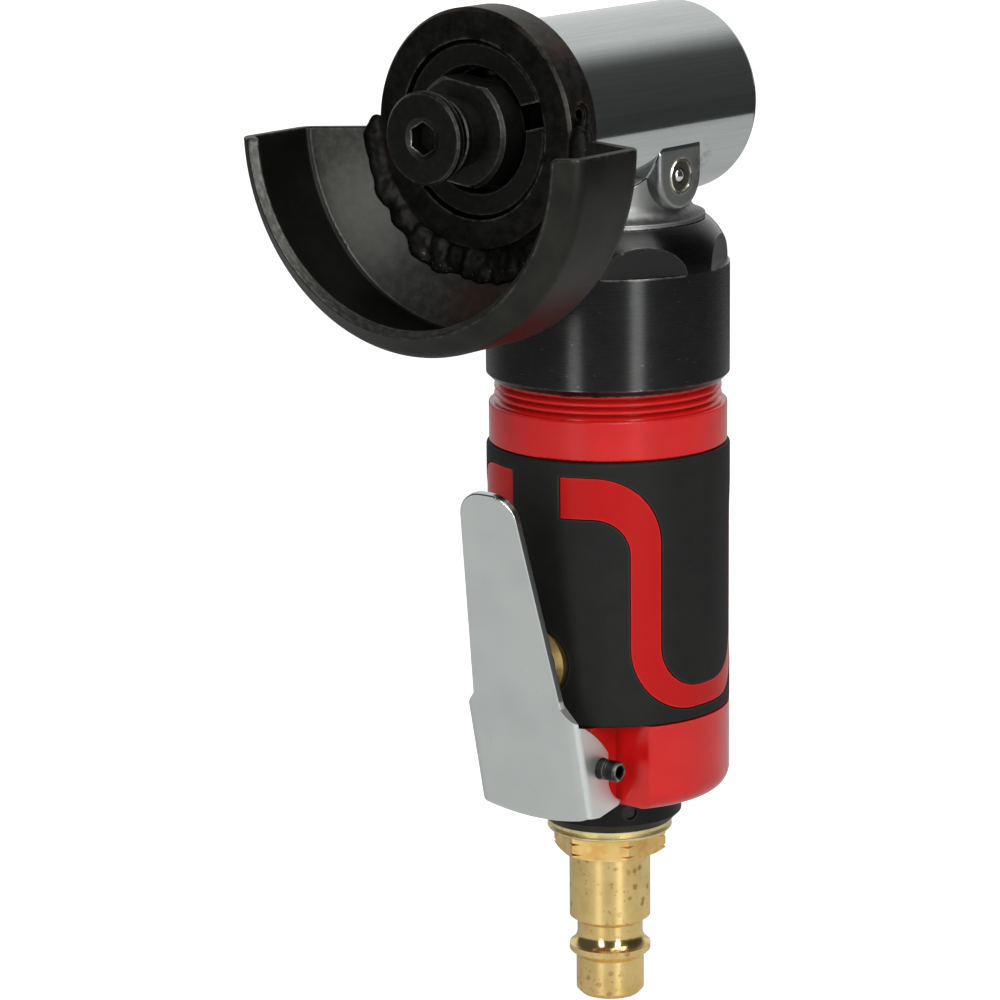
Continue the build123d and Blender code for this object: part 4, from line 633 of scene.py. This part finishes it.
def felt_ring(material):
    """Silencer felt in the deflector, a soft ring with a fibrous skin."""
    low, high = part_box("muffler_felt")
    inner, outer, height = FELT_BORE * MM, high.x, high.z - low.z
    felt = begin(
        bpy.ops.mesh.primitive_cylinder_add,
        vertices=160,
        radius=outer,
        depth=height,
        location=(0, 0, (low.z + high.z) / 2),
    )
    pick(felt, "polygons", lambda p: abs(p.normal.z) > 0.9)
    bpy.ops.mesh.inset(thickness=outer - inner)
    bpy.ops.mesh.bridge_edge_loops()
    bpy.ops.mesh.select_all(action="SELECT")
    bpy.ops.mesh.subdivide(number_cuts=2)
    bpy.ops.mesh.normals_make_consistent(inside=False)
    bpy.ops.object.mode_set(mode="OBJECT")
    fuzz = bpy.data.textures.new("felt_fuzz", "CLOUDS")
    fuzz.noise_scale = 0.5 * MM
    apply(felt, "DISPLACE", texture=fuzz, texture_coords="LOCAL", strength=0.08 * MM, mid_level=1.0)
    close(felt, "felt_ring", material, "deflector_body", "felt", "muffler_felt")


def coil_spring(name, node, material, radius, wire, turns, along, fixed_end):
    """Coil spring in the place of its node, along one axis by its index.

    Sizes are in millimetres.
    """
    low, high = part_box(node)
    pitch = ((high - low)[along] - wire * MM) / turns
    spring = begin(bpy.ops.mesh.primitive_circle_add, vertices=COIL_SIDES, radius=wire / 2 * MM)
    bpy.ops.mesh.select_all(action="SELECT")
    bpy.ops.transform.rotate(value=math.pi / 2, orient_axis="X", center_override=(0, 0, 0))
    bpy.ops.transform.translate(value=(radius * MM, 0, wire / 2 * MM))
    bpy.ops.object.mode_set(mode="OBJECT")
    steps = {"steps": COIL_STEPS, "render_steps": COIL_STEPS, "iterations": turns}
    apply(spring, "SCREW", axis="Z", screw_offset=pitch, **steps)
    bpy.ops.object.mode_set(mode="EDIT")
    bpy.ops.mesh.select_all(action="SELECT")
    bpy.ops.mesh.fill_holes(sides=COIL_SIDES)
    bpy.ops.mesh.select_all(action="SELECT")
    bpy.ops.mesh.normals_make_consistent(inside=False)
    bpy.ops.object.mode_set(mode="OBJECT")
    place = (low + high) / 2
    place[along] = low[along]
    spring.location = place
    spring.rotation_euler = (0, math.pi / 2, 0) if along == 0 else (-math.pi / 2, 0, 0)
    close(spring, name, material, "handle_body", "bright_steel", node)
    place[along] = fixed_end * MM
    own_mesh(spring)


front_spindle_bearing = [n for n in nodes if n.startswith("front_spindle_bearing")]
other_bearings = [n for n in nodes if "bearing" in n and n not in front_spindle_bearing]
finishes = {
    brass_nipple(): ["air_nipple"],
    brass_bush(): ["valve_bush"],
    yellow_zinc(): ["inlet_bushing"],
    black_deflector(): ["exhaust_deflector"],
    red_paint(): ["motor_housing"],
    grip_rubber(): ["grip_sleeve"],
    chrome_lever(): ["throttle_lever"],
    blued_collar(): ["clamp_collar"],
    polished_head(): ["angle_head_housing"],
    guard_black(): ["guard_shell"],
    ring_black(): ["guard_ring"],
    arbor_black(): ["clamp_washer", "arbor_screw"],
    arbor_black("nut_black", slot=SHADED_NUT_SLOT): ["spindle_retaining_nut"],
    arbor_black("spindle_black", 1.7): ["spindle"],
    arbor_black("pin_black"): ["lever_pin", "guard_set_screw", "neck_snap_ring", "pinion_circlip"],
    nickel_fitting(): ["grease_fitting"],
    bright_steel("check_ball_steel", (0.80, 0.79, 0.77), 0.08, 0.1): ["grease_ball"],
    bright_steel("gear_steel", (0.52, 0.51, 0.50), 0.28, 0.2): [
        "rotor", "bevel_pinion", "bevel_gear", "gear_key", "cylinder_dowel", "valve_stem",
        "preload_washer",
    ],
    cast_motor(): ["rear_end_plate", "front_end_plate", "motor_cylinder"],
    vane_composite(): ["rotor_vanes"],
    seal_rubber(): ["valve_seal"],
    greased_shaded_bearing(): front_spindle_bearing,
    bright_steel("bearing_steel", (0.70, 0.70, 0.71), 0.14, 0.12): other_bearings,
}
for material, names in finishes.items():
    for name in names:
        for slot in nodes[name].material_slots:
            slot.material = material

lumpy_weld(weld_bead())
felt_ring(felt_wool())
spring_steel = bright_steel("spring_steel", (0.55, 0.55, 0.56), 0.22, 0.15)
coil_spring(
    "valve_coil", "valve_spring", spring_steel, radius=2.6, wire=0.7, turns=5, along=1,
    fixed_end=8.5,
)
coil_spring(
    "grease_coil", "grease_spring", spring_steel, radius=0.75, wire=0.3, turns=2, along=0,
    fixed_end=8.8,
)

# Floor: white paper, brighter for the camera, and in mirrors dark past the table's edge
TABLE_EDGE = (470.0, 500.0)
FAR_FLOOR = (250.0, 1600.0)
bpy.ops.object.select_all(action="DESELECT")
bpy.ops.mesh.primitive_plane_add(size=12.0, location=(0, 0, -0.0002))
floor = bpy.context.object
floor.name = "floor"
paper = Finish("white_paper")
seen = paper.node("LightPath", output="Is Camera Ray")
shiny = paper.node("LightPath", output="Is Glossy Ray")
fibre = paper.noise(paper.spot((0.02, 0.02, 0.02)), 1.0, 2.0)
pulp = paper.mix(fibre, (0.80, 0.80, 0.80), (0.83, 0.83, 0.83))
matte = paper.node("BsdfDiffuse", {}, {"Color": pulp})
reach = off_axis(*paper.split(paper.spot())[:2])
lift = 0.72 + paper.ramp(reach, *FAR_FLOOR) * 0.3
glow = paper.node("Emission", {}, {"Color": (1, 1, 1, 1), "Strength": seen * lift})
sheet = paper.node("AddShader", {}, {0: matte, 1: glow})
dark = paper.node("Emission", {}, {"Color": (1, 1, 1, 1), "Strength": 0.05})
past_edge = shiny * paper.ramp(reach, *TABLE_EDGE)
table = paper.node("MixShader", {}, {0: past_edge, 1: sheet, 2: dark})
floor.data.materials.append(paper.show(table))

# Room: white for the camera, and in mirrors dark but for a bright part at the back left
room = Finish("studio", bpy.data.worlds, "World")
toward = room.node("TexCoord", output="Generated")
east, north = room.split(toward)[:2]
back = room.ramp(north, -0.05, 0.2)
left = room.ramp(east, 0.37, -0.06) * 0.96 + room.ramp(east, 0.75, 0.3) * 0.04
mirrored = 0.05 + back * left * 0.74 + (1.0 - back) * 0.03
camera_ray = room.node("LightPath", output="Is Camera Ray")
glossy_ray = room.node("LightPath", output="Is Glossy Ray")
level = camera_ray + (1.0 - camera_ray) * (glossy_ray * mirrored + (1.0 - glossy_ray) * 0.30)
sky = room.node("Background", {}, {"Color": (1, 1, 1, 1), "Strength": level})
bpy.context.scene.world = room.show(sky)

# Soft lamps
LAMP_AIM, LAMP_DISTANCE = Vector((0, 0, 0.09)), 0.9


def lamp(name, azimuth, elevation, width, height, power):
    """Add a soft box by its bearing from the -Y side, its elevation and its size in metres."""
    a, e = math.radians(azimuth), math.radians(elevation)
    away = Vector((math.sin(a) * math.cos(e), -math.cos(a) * math.cos(e), math.sin(e)))
    light = bpy.data.lights.new(name, "AREA")
    light.shape = "RECTANGLE"
    light.size, light.size_y = width, height
    light.energy = power
    box = bpy.data.objects.new(name, light)
    bpy.context.collection.objects.link(box)
    box.location = LAMP_AIM + away * LAMP_DISTANCE
    box.visible_camera = False
    box.rotation_euler = away.to_track_quat("Z", "Y").to_euler()


lamp("left_strip", 6, 16, 0.18, 0.75, 3.5)
lamp("right_strip", 64, 16, 0.18, 0.75, 4.2)
lamp("top_box", 80, 58, 0.5, 0.5, 2.6)

# Camera at the photograph's angle
CAMERA_AZIMUTH = math.radians(36.86)
CAMERA_ELEVATION = math.radians(12.81)
CAMERA_ROLL = math.radians(0.23)
CAMERA_TARGET, CAMERA_DISTANCE = Vector((0, 0, 0.075)), 0.6
away = Vector((
    math.sin(CAMERA_AZIMUTH) * math.cos(CAMERA_ELEVATION),
    -math.cos(CAMERA_AZIMUTH) * math.cos(CAMERA_ELEVATION),
    math.sin(CAMERA_ELEVATION),
))
right = Vector((math.cos(CAMERA_AZIMUTH), math.sin(CAMERA_AZIMUTH), 0))
upward = away.cross(right)
across = right * math.cos(CAMERA_ROLL) - upward * math.sin(CAMERA_ROLL)
upright = right * math.sin(CAMERA_ROLL) + upward * math.cos(CAMERA_ROLL)
lens = bpy.data.cameras.new("camera")
lens.lens = 149.04
lens.sensor_width = 36.0
lens.shift_x = -0.1084
lens.shift_y = -0.0019
lens.clip_start = 0.01
camera = bpy.data.objects.new("camera", lens)
bpy.context.collection.objects.link(camera)
turn = Matrix((across, upright, away)).transposed().to_4x4()
camera.matrix_world = Matrix.Translation(CAMERA_TARGET + away * CAMERA_DISTANCE) @ turn
bpy.context.scene.camera = camera
bpy.context.scene.view_settings.view_transform = "Standard"
